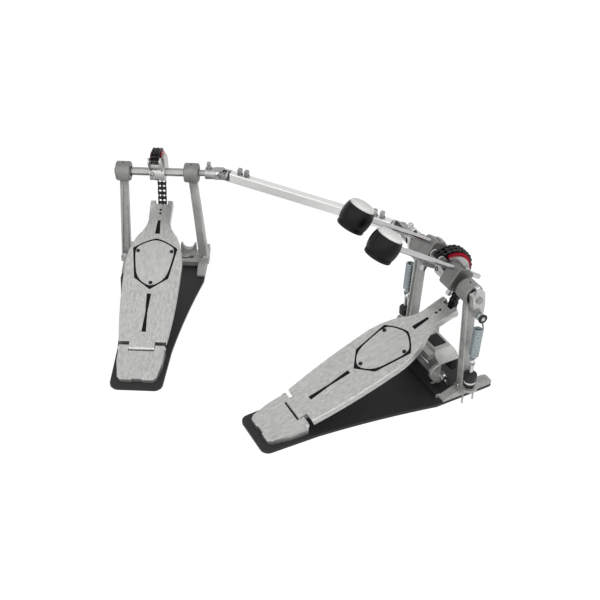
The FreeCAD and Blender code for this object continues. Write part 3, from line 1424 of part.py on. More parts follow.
def pair_of(name, bodies, height):
    members = [copy_of(body, moved(place, 0, lift)) for place in spring_places
               for body, lift in zip(bodies, height)]
    keep(name, group(name, members), primary)


def spring_adjusters():
    bolt = new_body("eye_bolt")
    pad(bolt, "XY", size.eye_bolt_foot - size.eye_height, 0.4 - size.eye_radius,
        Circle(0.0, 0.0, size.eye_bolt_diameter / 2))
    revolve(bolt, "XY", "V_Axis", Circle(size.eye_radius, 0.0, size.eye_wire / 2))
    pair_of("spring_eye_bolts", [bolt], [size.eye_height.value])
    hole = Circle(0.0, 0.0, size.eye_bolt_diameter / 2 + size.seat_gap)
    nut = new_body("tension_nut")
    flutes = int(size.nut_flutes.value)
    rim = []
    for number in range(2 * flutes):
        radius = size.nut_diameter / 2 * (0.93 if number % 2 else 1.0)
        turn = math.pi * number / flutes
        rim.append((radius * math.cos(turn), radius * math.sin(turn)))
    pad(nut, "XY", 0.0, size.nut_height, rim, hole)
    lock = new_body("lock_nut")
    pad(lock, "XY", -size.lock_nut_height, 0.0, hexagon(size.lock_nut_diameter * 0.9, as_dim(0.0)), hole)
    lock_level = ear_top + size.lock_nut_height
    nut_level = lock_level + size.washer_height
    pair_of("spring_nuts", [nut, lock], [nut_level.value, lock_level.value])
    washer = new_body("nylon_washer")
    pad(washer, "XY", 0.0, size.washer_height, Circle(0.0, 0.0, size.washer_diameter / 2), hole)
    pair_of("spring_washers", [washer], [lock_level.value])


# Springs: wound wire from the eye up to the rocker's spool. The path is made of arcs: each pair
# of points with their headings is joined by two arcs that meet smoothly.
def arc_from(first, corner, last):
    chord = last - first
    middle = (first + last) * 0.5
    lift = corner - middle
    half_angle = math.atan2(lift.Length, chord.Length / 2)
    if half_angle < 1e-6:
        return Part.makeLine(first, last)
    share = math.tan(half_angle / 2) / math.tan(half_angle)
    return Part.Arc(first, middle + lift * share, last).toShape()


def two_arcs(first, heading, last, final):
    across = last - first
    square = 2 - 2 * heading.dot(final)
    slope = 2 * across.dot(heading + final)
    reach = across.dot(across)
    if square > 1e-9:
        length = (math.sqrt(slope * slope + 4 * square * reach) - slope) / (2 * square)
    else:
        length = reach / slope
    near = first + heading * length
    far = last - final * length
    meet = (near + far) * 0.5
    return [arc_from(first, near, meet), arc_from(meet, far, last)]


def spring(name, side_x):
    wire = size.spring_wire.value
    radius = (size.spring_diameter.value - wire) / 2
    lean = math.radians(size.rocker_swing.value)
    spool = V(0, size.rocker_arm.value * math.sin(lean),
              size.axle_height.value - size.rocker_arm.value * math.cos(lean) - size.eye_height.value)
    span = spool.Length
    hook = size.spring_hook.value
    eye_inside = size.eye_radius.value - size.eye_wire.value / 2
    low = eye_inside - wire / 2 - size.spring_slack.value + hook
    loop = size.spool_radius.value + wire / 2 + size.spring_slack.value
    turns = size.spring_turns.value
    rise = size.spring_pitch.value
    coil_start = low + hook + 0.4
    slope = math.atan2(rise, 2 * math.pi * radius)
    stations = []
    for angle in (50, -20, -90, -180):
        place = math.radians(angle)
        stations.append((V(0, hook * math.cos(place), low + hook * math.sin(place)),
                         V(0, math.sin(place), -math.cos(place))))
    begin = -50.0
    total = 360.0 * turns + 90.0
    pieces = int(2 * turns)
    for number in range(pieces + 1):
        turn = total * number / pieces
        place = math.radians(begin + turn)
        point = V(radius * math.cos(place), radius * math.sin(place), coil_start + rise * turn / 360)
        flat = math.cos(slope)
        heading = V(-math.sin(place) * flat, math.cos(place) * flat, math.sin(slope))
        stations.append((point, heading))
    top = coil_start + rise * total / 360
    stations.append((V(0, loop, (top + span) / 2 + 1.0), V(0, 0, 1)))
    for angle in (0, 90, 180, 230):
        place = math.radians(angle)
        stations.append((V(0, loop * math.cos(place), span + loop * math.sin(place)),
                         V(0, -math.sin(place), math.cos(place))))
    edges = []
    for (first, heading), (last, final) in zip(stations, stations[1:]):
        edges += two_arcs(first, heading, last, final)
    path = Part.Wire(edges)
    start, heading = stations[0]
    profile = Part.Wire([Part.Circle(start, heading, wire / 2).toShape()])
    shape = path.makePipeShell([profile], True, False)
    feature = doc.addObject("Part::Feature", name)
    feature.Shape = shape
    lean_back = Rotation(Z_AXIS, spool)
    keep(name, feature, primary * Placement(V(side_x, 0, size.eye_height.value), lean_back))


def pedal(prefix, frame, extra, left_bore, templates):
    base(prefix, frame, extra)
    posts_and_bearings(prefix, frame, extra, left_bore)
    heel_plate(prefix, frame)
    footboard(prefix, frame)
    traction_plate(prefix, frame)
    plate_screws(prefix, frame, templates["screw"])
    footboard_pins(prefix, frame)
    axle = frame * to_axle
    cam(prefix, axle)
    cam_hub(prefix, axle)
    row = templates["row"]
    wide = templates["wide"]
    chain_stretch(prefix + "_chain_strand", axle, 0, strand_links, row, wide)
    chain_stretch(prefix + "_chain_wrap", axle, strand_links, len(chain) - 1, row, wide)


templates = {"screw": plate_screw(), "row": narrow_row(), "wide": wide_link()}
bolt = key_bolt()
pedal("primary", primary, size.left_extra, size.sleeve_diameter, templates)
primary_toe_frame()
primary_axle_bar()
sleeve()
hex_bore = hexagon(size.axle_flats + 2 * size.seat_gap, -size.rest_lean)
right_middle = beater_hub("right_beater_hub", size.right_hub_start, size.right_hub_start + size.hub_width,
                          size.right_rod_reach, size.right_rod_offset, hex_bore)
sleeve_bore = Circle(0.0, 0.0, size.sleeve_diameter / 2 + size.seat_gap)
left_middle = beater_hub("left_beater_hub", -size.left_hub_start, -size.left_hub_start - size.hub_width,
                         -size.left_rod_reach, size.left_rod_offset, sleeve_bore)
beater("right", size.right_rod_reach, size.right_rod_offset, size.right_beater_reach)
beater("left", -size.left_rod_reach, size.left_rod_offset, size.left_beater_reach)
rocker_start = size.post_reach + size.housing_length / 2 + size.rocker_gap
right_rocker_bolt = rocker("right_rocker", rocker_start, 1, size.journal_diameter)
left_rocker_bolt = rocker("left_rocker", -rocker_start - size.left_extra, -1, size.sleeve_diameter)
left_fork_bolt = axle_fork("left_fork", primary_axle, moved(joint_x, 0, 0), size.sleeve_diameter)
right_bolts = [copy_of(bolt, hub_bolt_place(right_middle)), copy_of(bolt, right_rocker_bolt)]
keep("right_axle_bolts", group("right_axle_bolts", right_bolts), primary_axle)
left_bolts = [copy_of(bolt, hub_bolt_place(left_middle)), copy_of(bolt, left_rocker_bolt),
              copy_of(bolt, left_fork_bolt)]
keep("left_axle_bolts", group("left_axle_bolts", left_bolts), primary_axle)
hoop_clamp()
spring_adjusters()
spring("right_spring", spring_places[0])
spring("left_spring", spring_places[1])
cross("left_cross", shaft)
tube_fork("drive_tube_fork", shaft, size.stem_length)
tube_fork("drive_rod", shaft_far, size.inner_rod_length)
drive_tube(bolt)
cross("slave_cross", shaft_far)
pedal("slave", slave, as_dim(0.0), size.journal_diameter, templates)
slave_toe_frame()
slave_axle_bar()
slave_fork_place = Placement(V(size.slave_joint_reach.value, 0, 0), Rotation(Z_AXIS, 180))
slave_fork_bolt = axle_fork("slave_fork", slave_axle, slave_fork_place, size.journal_diameter)
keep("slave_fork_bolt", group("slave_fork_bolt", [copy_of(bolt, slave_fork_bolt)]), slave_axle)
doc.recompute()

for item in doc.Objects:
    if "Invalid" in item.State or "Error" in item.State:
        raise RuntimeError(f"{item.Label} failed: {item.State} {item.getStatusString()}")
for name, item in NODES.items():
    if item.Shape.isNull() or not item.Shape.isValid():
        raise RuntimeError(f"{name} has no valid shape")

os.makedirs("parts", exist_ok=True)
for name, item in NODES.items():
    item.Shape.exportStep(f"parts/{name}.step")
    box = item.Shape.BoundBox
    print(f"{name}: {len(item.Shape.Solids)} solids, {item.Shape.Volume:.0f} mm3, "
          f"x {box.XMin:.1f} {box.XMax:.1f} y {box.YMin:.1f} {box.YMax:.1f} z {box.ZMin:.1f} {box.ZMax:.1f}")
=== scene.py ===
import bmesh
import bpy
import json
import math
from mathutils import Matrix, Vector, noise

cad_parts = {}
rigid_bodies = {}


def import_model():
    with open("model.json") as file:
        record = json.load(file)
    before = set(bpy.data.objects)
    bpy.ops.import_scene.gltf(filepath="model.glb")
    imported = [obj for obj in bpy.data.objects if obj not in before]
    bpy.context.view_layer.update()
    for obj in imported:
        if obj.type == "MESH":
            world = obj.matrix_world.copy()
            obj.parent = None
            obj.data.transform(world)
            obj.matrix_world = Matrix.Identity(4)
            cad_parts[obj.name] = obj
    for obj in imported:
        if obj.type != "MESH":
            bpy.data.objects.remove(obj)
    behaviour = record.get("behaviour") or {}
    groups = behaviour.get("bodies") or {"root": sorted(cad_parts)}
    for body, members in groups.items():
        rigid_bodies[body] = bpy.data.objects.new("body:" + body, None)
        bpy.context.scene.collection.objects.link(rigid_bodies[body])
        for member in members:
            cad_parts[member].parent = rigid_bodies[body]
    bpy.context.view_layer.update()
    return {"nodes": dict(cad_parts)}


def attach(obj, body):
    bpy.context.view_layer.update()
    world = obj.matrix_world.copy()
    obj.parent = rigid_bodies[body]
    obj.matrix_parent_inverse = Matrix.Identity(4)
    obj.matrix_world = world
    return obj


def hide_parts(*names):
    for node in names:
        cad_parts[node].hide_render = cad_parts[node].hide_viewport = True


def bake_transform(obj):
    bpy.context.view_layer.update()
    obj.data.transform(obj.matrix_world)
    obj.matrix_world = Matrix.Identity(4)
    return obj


for stray in list(bpy.data.objects):
    bpy.data.objects.remove(stray)
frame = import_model()
nodes = frame["nodes"]
scene = bpy.context.scene
scene.view_settings.view_transform = "Standard"


# Studio. A white paper sweep under soft boxes, seen from the player's right at standing height.
# The paper and the surround read white to the eye and in the metal, and take a soft shadow.
def blank_material(name):
    """A material with an output and nothing on it yet."""
    material = bpy.data.materials.new(name)
    material.use_nodes = True
    tree = material.node_tree
    tree.nodes.clear()
    output = tree.nodes.new("ShaderNodeOutputMaterial")
    return material, tree, output


def white_to_eye_and_metal(tree):
    """One for rays of the eye, of metal and of glass, and nothing for rays that light the object."""
    ray = tree.nodes.new("ShaderNodeLightPath")
    first = tree.nodes.new("ShaderNodeMath")
    first.operation = "ADD"
    second = tree.nodes.new("ShaderNodeMath")
    second.operation = "ADD"
    second.use_clamp = True
    tree.links.new(ray.outputs["Is Camera Ray"], first.inputs[0])
    tree.links.new(ray.outputs["Is Glossy Ray"], first.inputs[1])
    tree.links.new(first.outputs[0], second.inputs[0])
    tree.links.new(ray.outputs["Is Transmission Ray"], second.inputs[1])
    return second.outputs[0]


camera_data = bpy.data.cameras.new("camera")
camera = bpy.data.objects.new("camera", camera_data)
scene.collection.objects.link(camera)
scene.camera = camera
camera_data.lens = 63.69
camera_data.sensor_width = 36.0
camera_data.clip_end = 20.0
camera_place = Vector((0.942256, -0.738655, 1.064398))
look = Vector((-0.690217, 0.371984, -0.620668))
across = Vector((0.470862, 0.882192, 0.005099))
above = Vector((-0.549445, 0.288729, 0.784057))
camera.matrix_world = Matrix((
    (across.x, above.x, -look.x, camera_place.x),
    (across.y, above.y, -look.y, camera_place.y),
    (across.z, above.z, -look.z, camera_place.z),
    (0, 0, 0, 1),
))

white = (1.0, 1.0, 1.0, 1.0)
fill_strength = 0.28
seen_strength = 1.0
world = bpy.data.worlds.new("surround")
scene.world = world
world.use_nodes = True
surround = world.node_tree
surround.nodes.clear()
sky_out = surround.nodes.new("ShaderNodeOutputWorld")
sky_fill = surround.nodes.new("ShaderNodeBackground")
sky_fill.inputs["Color"].default_value = white
sky_fill.inputs["Strength"].default_value = fill_strength
sky_seen = surround.nodes.new("ShaderNodeBackground")
sky_seen.inputs["Color"].default_value = white
sky_seen.inputs["Strength"].default_value = seen_strength
sky_mix = surround.nodes.new("ShaderNodeMixShader")
surround.links.new(white_to_eye_and_metal(surround), sky_mix.inputs[0])
surround.links.new(sky_fill.outputs[0], sky_mix.inputs[1])
surround.links.new(sky_seen.outputs[0], sky_mix.inputs[2])
surround.links.new(sky_mix.outputs[0], sky_out.inputs["Surface"])

paper_level = -0.0004
paper_reach = 6.0
paper_tone = (0.93, 0.93, 0.93, 1.0)
paper_glow_strength = 1.2
paper_glow_share = 0.74
paper_mesh = bpy.data.meshes.new("paper")
paper_mesh.from_pydata([
    (-paper_reach, -paper_reach, paper_level), (paper_reach, -paper_reach, paper_level),
    (paper_reach, paper_reach, paper_level), (-paper_reach, paper_reach, paper_level),
], [], [(0, 1, 2, 3)])
paper = bpy.data.objects.new("paper", paper_mesh)
scene.collection.objects.link(paper)
paper_material, paper_tree, paper_out = blank_material("white_paper")
paper_shade = paper_tree.nodes.new("ShaderNodeBsdfDiffuse")
paper_shade.inputs["Color"].default_value = paper_tone
paper_glow = paper_tree.nodes.new("ShaderNodeEmission")
paper_glow.inputs["Strength"].default_value = paper_glow_strength
paper_share = paper_tree.nodes.new("ShaderNodeMath")
paper_share.operation = "MULTIPLY"
paper_share.inputs[1].default_value = paper_glow_share
paper_mix = paper_tree.nodes.new("ShaderNodeMixShader")
paper_tree.links.new(white_to_eye_and_metal(paper_tree), paper_share.inputs[0])
paper_tree.links.new(paper_share.outputs[0], paper_mix.inputs[0])
paper_tree.links.new(paper_shade.outputs[0], paper_mix.inputs[1])
paper_tree.links.new(paper_glow.outputs[0], paper_mix.inputs[2])
paper_tree.links.new(paper_mix.outputs[0], paper_out.inputs["Surface"])
paper_mesh.materials.append(paper_material)


def soft_box(name, place, target, width, height, power):
    """An oblong lamp behind a diffuser, turned to its target."""
    lamp = bpy.data.lights.new(name, "AREA")
    lamp.shape = "RECTANGLE"
    lamp.size = width
    lamp.size_y = height
    lamp.energy = power
    holder = bpy.data.objects.new(name, lamp)
    holder.location = place
    holder.rotation_euler = (Vector(target) - Vector(place)).to_track_quat("-Z", "Y").to_euler()
    scene.collection.objects.link(holder)


middle = (-0.2, -0.15, 0.1)
soft_box("key_box", place=(0.5, -1.7, 1.5), target=middle, width=3.2, height=2.4, power=23)
soft_box("top_box", place=(0.5, 0.7, 2.0), target=middle, width=2.6, height=2.4, power=12)
soft_box("side_box", place=(2.1, -0.1, 1.3), target=middle, width=3.0, height=1.9, power=16)


# Base plates and mats. A steel plate in textured black paint lies on a sheet of black rubber that
# is glued under it, whose edge shows as a thin dull line at the floor.
weld_reach = 0.00001
edge_angle = math.radians(32)
flat_face_weight = 80


def finish_node(name, material, bevel=0.0):
    """Give a CAD node its material, and break its edges a little."""
    piece = nodes[name]
    piece.data.materials.clear()
    piece.data.materials.append(material)
    if bevel:
        weld = piece.modifiers.new("weld", "WELD")
        weld.merge_threshold = weld_reach
        edge = piece.modifiers.new("broken_edges", "BEVEL")
        edge.width = bevel
        edge.segments = 2
        edge.limit_method = "ANGLE"
        edge.angle_limit = edge_angle
        edge.harden_normals = False
        piece.data.shade_smooth()
        level = piece.modifiers.new("flat_faces", "WEIGHTED_NORMAL")
        level.keep_sharp = True
        level.weight = flat_face_weight


def shade_by_grain(tree, shader, pattern, grain, colours, stops, rough, lift, depth):
    """Let a pattern set the tone, and a grain the gloss and the fine surface."""
    tone = tree.nodes.new("ShaderNodeValToRGB")
    for number in (0, 1):
        tone.color_ramp.elements[number].position = stops[number]
        tone.color_ramp.elements[number].color = (*colours[number], 1)
    gloss = tree.nodes.new("ShaderNodeMapRange")
    gloss.inputs["From Min"].default_value = 0.3
    gloss.inputs["From Max"].default_value = 0.7
    gloss.inputs["To Min"].default_value = rough[0]
    gloss.inputs["To Max"].default_value = rough[1]
    bump = tree.nodes.new("ShaderNodeBump")
    bump.inputs["Strength"].default_value = lift
    bump.inputs["Distance"].default_value = depth
    link = tree.links.new
    link(pattern, tone.inputs["Fac"])
    link(tone.outputs["Color"], shader.inputs["Base Color"])
    link(grain, gloss.inputs["Value"])
    link(gloss.outputs["Result"], shader.inputs["Roughness"])
    link(grain, bump.inputs["Height"])
    link(bump.outputs["Normal"], shader.inputs["Normal"])


def coat_finish(name, dark, light, rough, grain, depth, mirror=0.3):
    """Paint, plastic or rubber with a fine texture in its tone, gloss and surface."""
    material, tree, output = blank_material(name)
    shader = tree.nodes.new("ShaderNodeBsdfPrincipled")
    shader.inputs["Specular IOR Level"].default_value = mirror
    coords = tree.nodes.new("ShaderNodeTexCoord")
    fine = tree.nodes.new("ShaderNodeTexNoise")
    fine.inputs["Scale"].default_value = grain
    fine.inputs["Detail"].default_value = 5.0
    tree.links.new(coords.outputs["Object"], fine.inputs["Vector"])
    tree.links.new(shader.outputs[0], output.inputs["Surface"])
    speckle = fine.outputs["Fac"]
    shade_by_grain(tree, shader, speckle, speckle, colours=(dark, light), stops=(0.35, 0.68),
                   rough=rough, lift=0.6, depth=depth)
    return material


black_paint = coat_finish("textured_black_paint", dark=(0.009, 0.009, 0.010), light=(0.024, 0.024, 0.026),
                          rough=(0.42, 0.62), grain=1400, depth=0.00012)
mat_rubber = coat_finish("mat_rubber", dark=(0.012, 0.012, 0.012), light=(0.024, 0.024, 0.024),
                         rough=(0.7, 0.85), grain=700, depth=0.0001)
for side in ("primary", "slave"):
    finish_node(side + "_base_plate", black_paint, bevel=0.0006)
    finish_node(side + "_rubber_mat", mat_rubber)


# Toe frames and heel plates. Aluminium sand castings, tumbled smooth and left bare: a fine even
# grain with darker clouds in it. A cap bolt behind each post's foot holds post and frame together.
def metal_finish(name, dark, light, rough, grain, stretch=1.0, heading=0.0, depth=0.00006, metal=1.0):
    """Bare metal whose tone, gloss and surface follow a grain, drawn out along one direction."""
    material, tree, output = blank_material(name)
    shader = tree.nodes.new("ShaderNodeBsdfPrincipled")
    shader.inputs["Metallic"].default_value = metal
    coords = tree.nodes.new("ShaderNodeTexCoord")
    drawn = tree.nodes.new("ShaderNodeMapping")
    drawn.vector_type = "TEXTURE"
    drawn.inputs["Rotation"].default_value = (0, 0, heading)
    drawn.inputs["Scale"].default_value = (1.0 / stretch, 1.0, 1.0 / stretch)
    fine = tree.nodes.new("ShaderNodeTexNoise")
    fine.inputs["Scale"].default_value = grain
    fine.inputs["Detail"].default_value = 6.0
    fine.inputs["Roughness"].default_value = 0.65
    cloud = tree.nodes.new("ShaderNodeTexNoise")
    cloud.inputs["Scale"].default_value = 45.0
    cloud.inputs["Detail"].default_value = 4.0
    pattern = tree.nodes.new("ShaderNodeMix")
    pattern.data_type = "FLOAT"
    pattern.inputs["Factor"].default_value = 0.5
    link = tree.links.new
    link(coords.outputs["Object"], drawn.inputs["Vector"])
    link(drawn.outputs["Vector"], fine.inputs["Vector"])
    link(drawn.outputs["Vector"], cloud.inputs["Vector"])
    link(fine.outputs["Fac"], pattern.inputs["A"])
    link(cloud.outputs["Fac"], pattern.inputs["B"])
    link(shader.outputs[0], output.inputs["Surface"])
    shade_by_grain(tree, shader, pattern.outputs["Result"], fine.outputs["Fac"], colours=(dark, light),
                   stops=(0.34, 0.66), rough=rough, lift=0.5, depth=depth)
    return material


on_axis = 1e-7


def spin_into(shape, profile, steps, place):
    """Add a turned form: pairs of radius and height from foot to tip, spun about its own axis."""
    rings = []
    for radius, height in profile:
        if radius < on_axis:
            rings.append([shape.verts.new(place @ Vector((0, 0, height)))])
            continue
        ring = []
        for step in range(steps):
            angle = 2 * math.pi * step / steps
            point = Vector((radius * math.cos(angle), radius * math.sin(angle), height))
            ring.append(shape.verts.new(place @ point))
        rings.append(ring)
    for low, high in zip(rings, rings[1:]):
        for step in range(steps):
            after = (step + 1) % steps
            if len(low) == 1:
                shape.faces.new((low[0], high[after], high[step]))
            elif len(high) == 1:
                shape.faces.new((low[step], low[after], high[0]))
            else:
                shape.faces.new((low[step], low[after], high[after], high[step]))


def make_piece(name, shape, material, sharp=35.0):
    """Turn a drawn form into a piece with its material."""
    bmesh.ops.recalc_face_normals(shape, faces=shape.faces)
    mesh = bpy.data.meshes.new(name)
    shape.to_mesh(mesh)
    shape.free()
    mesh.shade_smooth()
    mesh.set_sharp_from_angle(angle=math.radians(sharp))
    mesh.materials.append(material)
    piece = bpy.data.objects.new(name, mesh)
    scene.collection.objects.link(piece)
    return piece


quarter_turn = math.pi / 2
slave_heading = math.radians(59.1)
slave_place = (-0.427069, -0.256360, 0)
pedal_frame = {
    "primary": Matrix.Identity(4),
    "slave": Matrix.Translation(slave_place) @ Matrix.Rotation(slave_heading, 4, "Z"),
}
pedal_heading = {"primary": 0.0, "slave": slave_heading}
cast_dark = (0.27, 0.27, 0.26)
cast_light = (0.52, 0.52, 0.505)
cast_rough = (0.36, 0.52)
cast_grain = 500
cast_metal = 0.35
sand_cast = metal_finish("sand_cast_aluminium", cast_dark, cast_light, cast_rough, cast_grain,
                         metal=cast_metal)
tread_metal = {
    side: metal_finish("drawn_casting_" + side, dark=(0.34, 0.34, 0.33), light=(0.62, 0.62, 0.605),
                       rough=(0.27, 0.42), grain=200, stretch=9.0, heading=pedal_heading[side],
                       depth=0.00004, metal=0.75)
    for side in pedal_frame
}
for side in pedal_frame:
    finish_node(side + "_toe_frame", sand_cast, bevel=0.0008)
    finish_node(side + "_heel_plate", tread_metal[side], bevel=0.0008)

bright_chrome = metal_finish("bright_chrome", dark=(0.40, 0.40, 0.41), light=(0.56, 0.56, 0.57),
                             rough=(0.07, 0.14), grain=300, depth=0.000005)
foot_bolt_x = 0.0650
foot_bolt_y = -0.0060
foot_bolt_z = 0.0252
foot_bolt_profile = [
    (0.0042, 0.0001), (0.0042, 0.0010), (0.0034, 0.0012), (0.0034, 0.0034), (0.0030, 0.0039),
    (0.0018, 0.0039), (0.0018, 0.0021), (0.0, 0.0021),
]
for side, left_extra in (("primary", 0.010), ("slave", 0.0)):
    form = bmesh.new()
    for reach in (foot_bolt_x, -foot_bolt_x - left_extra):
        seat = (pedal_frame[side] @ Matrix.Translation((reach, foot_bolt_y, foot_bolt_z))
                @ Matrix.Rotation(quarter_turn, 4, "X"))
        spin_into(form, foot_bolt_profile, steps=28, place=seat)
    foot_bolts = make_piece(side + "_foot_bolts", form, bright_chrome)
    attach(foot_bolts, side + "_base")


# Cross-member cover. A folded sheet of the base plate's steel, painted with it, lies over the frame's
# low cross member and down its rear face, so that the floor of the pedal reads as one black sheet.
cover_top = 0.0112
cover_foot = 0.0061
cover_edge = 0.0003
cover_left = -0.0655
cover_right = 0.0555
cover_rear = -0.0383
cover_front = -0.0312
tongue_half = 0.0298
tongue_front = -0.0200
cover_outline = [
    (cover_left, cover_rear), (cover_right, cover_rear), (cover_right, cover_front),
    (tongue_half, cover_front), (tongue_half, tongue_front), (-tongue_half, tongue_front),
    (-tongue_half, cover_front), (cover_left, cover_front),
]
apron_outline = [
    (cover_left, cover_top + cover_edge), (cover_right, cover_top + cover_edge),
    (cover_right, cover_foot), (cover_left, cover_foot),
]
form = bmesh.new()
upper = [form.verts.new((x, y, cover_top + cover_edge)) for x, y in cover_outline]
under = [form.verts.new((x, y, cover_top)) for x, y in cover_outline]
form.faces.new(upper)
for step in range(len(upper)):
    follow = (step + 1) % len(upper)
    form.faces.new((under[step], under[follow], upper[follow], upper[step]))
apron = [form.verts.new((x, cover_rear - cover_edge, z)) for x, z in apron_outline]
form.faces.new(apron)
form.faces.new((upper[0], upper[1], apron[1], apron[0]))
cover = make_piece("cross_member_cover", form, black_paint)
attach(cover, "primary_base")


# Posts and bearings. Each post is a casting with a bearing housing across its top. The leg is
# painted lighter and the housing painted darker, as painted light and painted shade.
# The bearing in it shows its black seal.
def painted_light_by_height(material, low, high, below, above):
    """Paint light and shade into a casting's tone: scale it by one factor below a height and by another above
    it.
    """
    tree = material.node_tree
    shader = next(node for node in tree.nodes if node.type == "BSDF_PRINCIPLED")
    grain_tone = shader.inputs["Base Color"].links[0].from_socket
    coords = tree.nodes.new("ShaderNodeTexCoord")
    split = tree.nodes.new("ShaderNodeSeparateXYZ")
    change = tree.nodes.new("ShaderNodeMapRange")
    change.inputs["From Min"].default_value = low
    change.inputs["From Max"].default_value = high
    change.inputs["To Min"].default_value = below
    change.inputs["To Max"].default_value = above
    shaded = tree.nodes.new("ShaderNodeVectorMath")
    shaded.operation = "SCALE"
    link = tree.links.new
    link(coords.outputs["Object"], split.inputs["Vector"])
    link(split.outputs["Z"], change.inputs["Value"])
    link(grain_tone, shaded.inputs[0])
    link(change.outputs["Result"], shaded.inputs["Scale"])
    link(shaded.outputs["Vector"], shader.inputs["Base Color"])


leg_top = 0.158
housing_foot = 0.170
leg_painted_light = 1.12
housing_painted_shade = 0.58
post_cast_painted_light = metal_finish("post_casting_painted_light", cast_dark, cast_light, cast_rough, cast_grain, metal=cast_metal)
# painted light and shade: the leg's tone is raised and the housing's lowered, standing in for how light falls
# on them
painted_light_by_height(post_cast_painted_light, leg_top, housing_foot, leg_painted_light, housing_painted_shade)
bearing_seal = coat_finish("bearing_seal", dark=(0.010, 0.010, 0.010), light=(0.022, 0.022, 0.022),
                           rough=(0.35, 0.5), grain=900, depth=0.00003)
for side in pedal_frame:
    finish_node(side + "_posts", post_cast_painted_light, bevel=0.0005)
    finish_node(side + "_bearings", bearing_seal, bevel=0.0004)


# Footboards. Long aluminium castings, brushed along their length and then blasted lightly. A black
# rubber cord fills the groove round the shield, and black rubber fills the slots. Black discs in the
# toe holes are painted shade, standing in for the dark of the open holes.
hinge_y = -0.237
hinge_z = 0.0225
board_slope = math.radians(20.8)
board_frame = {
    side: (pedal_frame[side] @ Matrix.Translation((0, hinge_y, hinge_z))
           @ Matrix.Rotation(board_slope, 4, "X"))
    for side in pedal_frame
}
for side in pedal_frame:
    finish_node(side + "_footboard", tread_metal[side], bevel=0.0005)


def bowed(first, last, rise, steps=10):
    """Points from the first to before the last, on an arc that stands out to the right by the rise."""
    first = Vector(first)
    last = Vector(last)
    way = last - first
    right = Vector((way.y, -way.x)).normalized()
    points = []
    for step in range(steps):
        share = step / steps
        points.append(first + way * share + right * (4 * rise * share * (1 - share)))
    return points


heel_edge = 0.0092
shield_bow = 0.0022
shoulder_drop = 0.3


def shield_loop(inset):
    """Outline of the shield, drawn in from the edge of its recess."""
    top = heel_edge + 0.1862 - inset
    point = heel_edge + 0.0913 + inset
    wide = 0.0352 - inset
    waist = 0.0266 - inset
    shoulder = heel_edge + 0.1668 - shoulder_drop * inset
    low = heel_edge + 0.1118
    loop = bowed((0, point), (waist, low), rise=0, steps=4)
    loop += bowed((waist, low), (wide, shoulder), rise=0, steps=6)
    loop += bowed((wide, shoulder), (0, top), rise=shield_bow)
    loop += bowed((0, top), (-wide, shoulder), rise=shield_bow)
    loop += bowed((-wide, shoulder), (-waist, low), rise=0, steps=6)
    loop += bowed((-waist, low), (0, point), rise=0, steps=4)
    return loop


def rounded(loop, rounds):
    """The loop with its corners worn round, a little more with each round."""
    for turn in range(rounds):
        loop = [(before + 2 * point + after) / 4
                for before, point, after in zip(loop[-1:] + loop[:-1], loop, loop[1:] + loop[:1])]
    return loop


def far_slot_loop(inset):
    """Outline of the slot at the toe, which narrows away from the shield."""
    start = heel_edge + 0.1948 + inset
    end = heel_edge + 0.2211 - inset
    wide = 0.0040 - inset
    narrow = 0.00225 - inset
    return [Vector(point) for point in ((wide, start), (narrow, end), (-narrow, end), (-wide, start))]


def near_slot_loop(inset):
    """Outline of the slot at the heel, which has a waist in its middle."""
    start = heel_edge + 0.0166 + inset
    end = heel_edge + 0.0837 - inset
    waist_place = heel_edge + 0.05015
    wide = 0.0035 - inset
    waist = 0.0016 - inset
    half = [(wide, start), (waist, waist_place), (wide, end)]
    return [Vector(point) for point in half + [(-x, y) for x, y in reversed(half)]]


def skin(shape, rings):
    """Join each closed ring of points to the next with faces."""
    for before, after in zip(rings, rings[1:]):
        for step in range(len(before)):
            follow = (step + 1) % len(before)
            shape.faces.new((before[step], before[follow], after[follow], after[step]))


def lay_into(shape, loops, levels, place, filled):
    """Add a strip of rubber: one loop for each level, skinned from the first to the last."""
    rings = []
    for loop, level in zip(loops, levels):
        rings.append([shape.verts.new(place @ Vector((point.x, point.y, level))) for point in loop])
    skin(shape, rings)
    if filled:
        shape.faces.new(rings[-1])


inlay_rubber_and_hole_shade = coat_finish("inlay_rubber_and_hole_shade", dark=(0.003, 0.003, 0.003), light=(0.007, 0.007, 0.007),
                           rough=(0.6, 0.75), grain=1100, depth=0.00008, mirror=0.12)
cord_section = [
    (0.00015, 0.0025, 0), (0.00015, 0.0044, 0), (0.0004, 0.00475, 0),
    (0.0012, 0.0051, 1), (0.0029, 0.0051, 3), (0.0032, 0.00494, 3),
]
cord_levels = [level for inset, level, rounds in cord_section]
slot_section = [(0.00012, 0.0032), (0.00012, 0.0042), (0.0004, 0.0044)]
slot_levels = [level for inset, level in slot_section]
toe_holes = (0.2347, 0.2417)
# profile of the black discs in the toe holes, which are painted shade
toe_hole_shade_profile = [(0.0019, 0.0012), (0.0019, 0.0040), (0.0015, 0.0043), (0.0006, 0.0042), (0.0, 0.0040)]
for side in pedal_frame:
    form = bmesh.new()
    cord_loops = [rounded(shield_loop(inset), rounds) for inset, level, rounds in cord_section]
    lay_into(form, cord_loops, cord_levels, board_frame[side], filled=False)
    for outline in (far_slot_loop, near_slot_loop):
        slot_loops = [outline(inset) for inset, level in slot_section]
        lay_into(form, slot_loops, slot_levels, board_frame[side], filled=True)
    # black discs in the toe holes: painted shade for the dark seen through the open holes
    for place in toe_holes:
        seat = board_frame[side] @ Matrix.Translation((0, heel_edge + place, 0))
        spin_into(form, toe_hole_shade_profile, steps=24, place=seat)
    inlay = make_piece(side + "_tread_rubbers_and_hole_shade", form, inlay_rubber_and_hole_shade)
    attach(inlay, side + "_footboard")


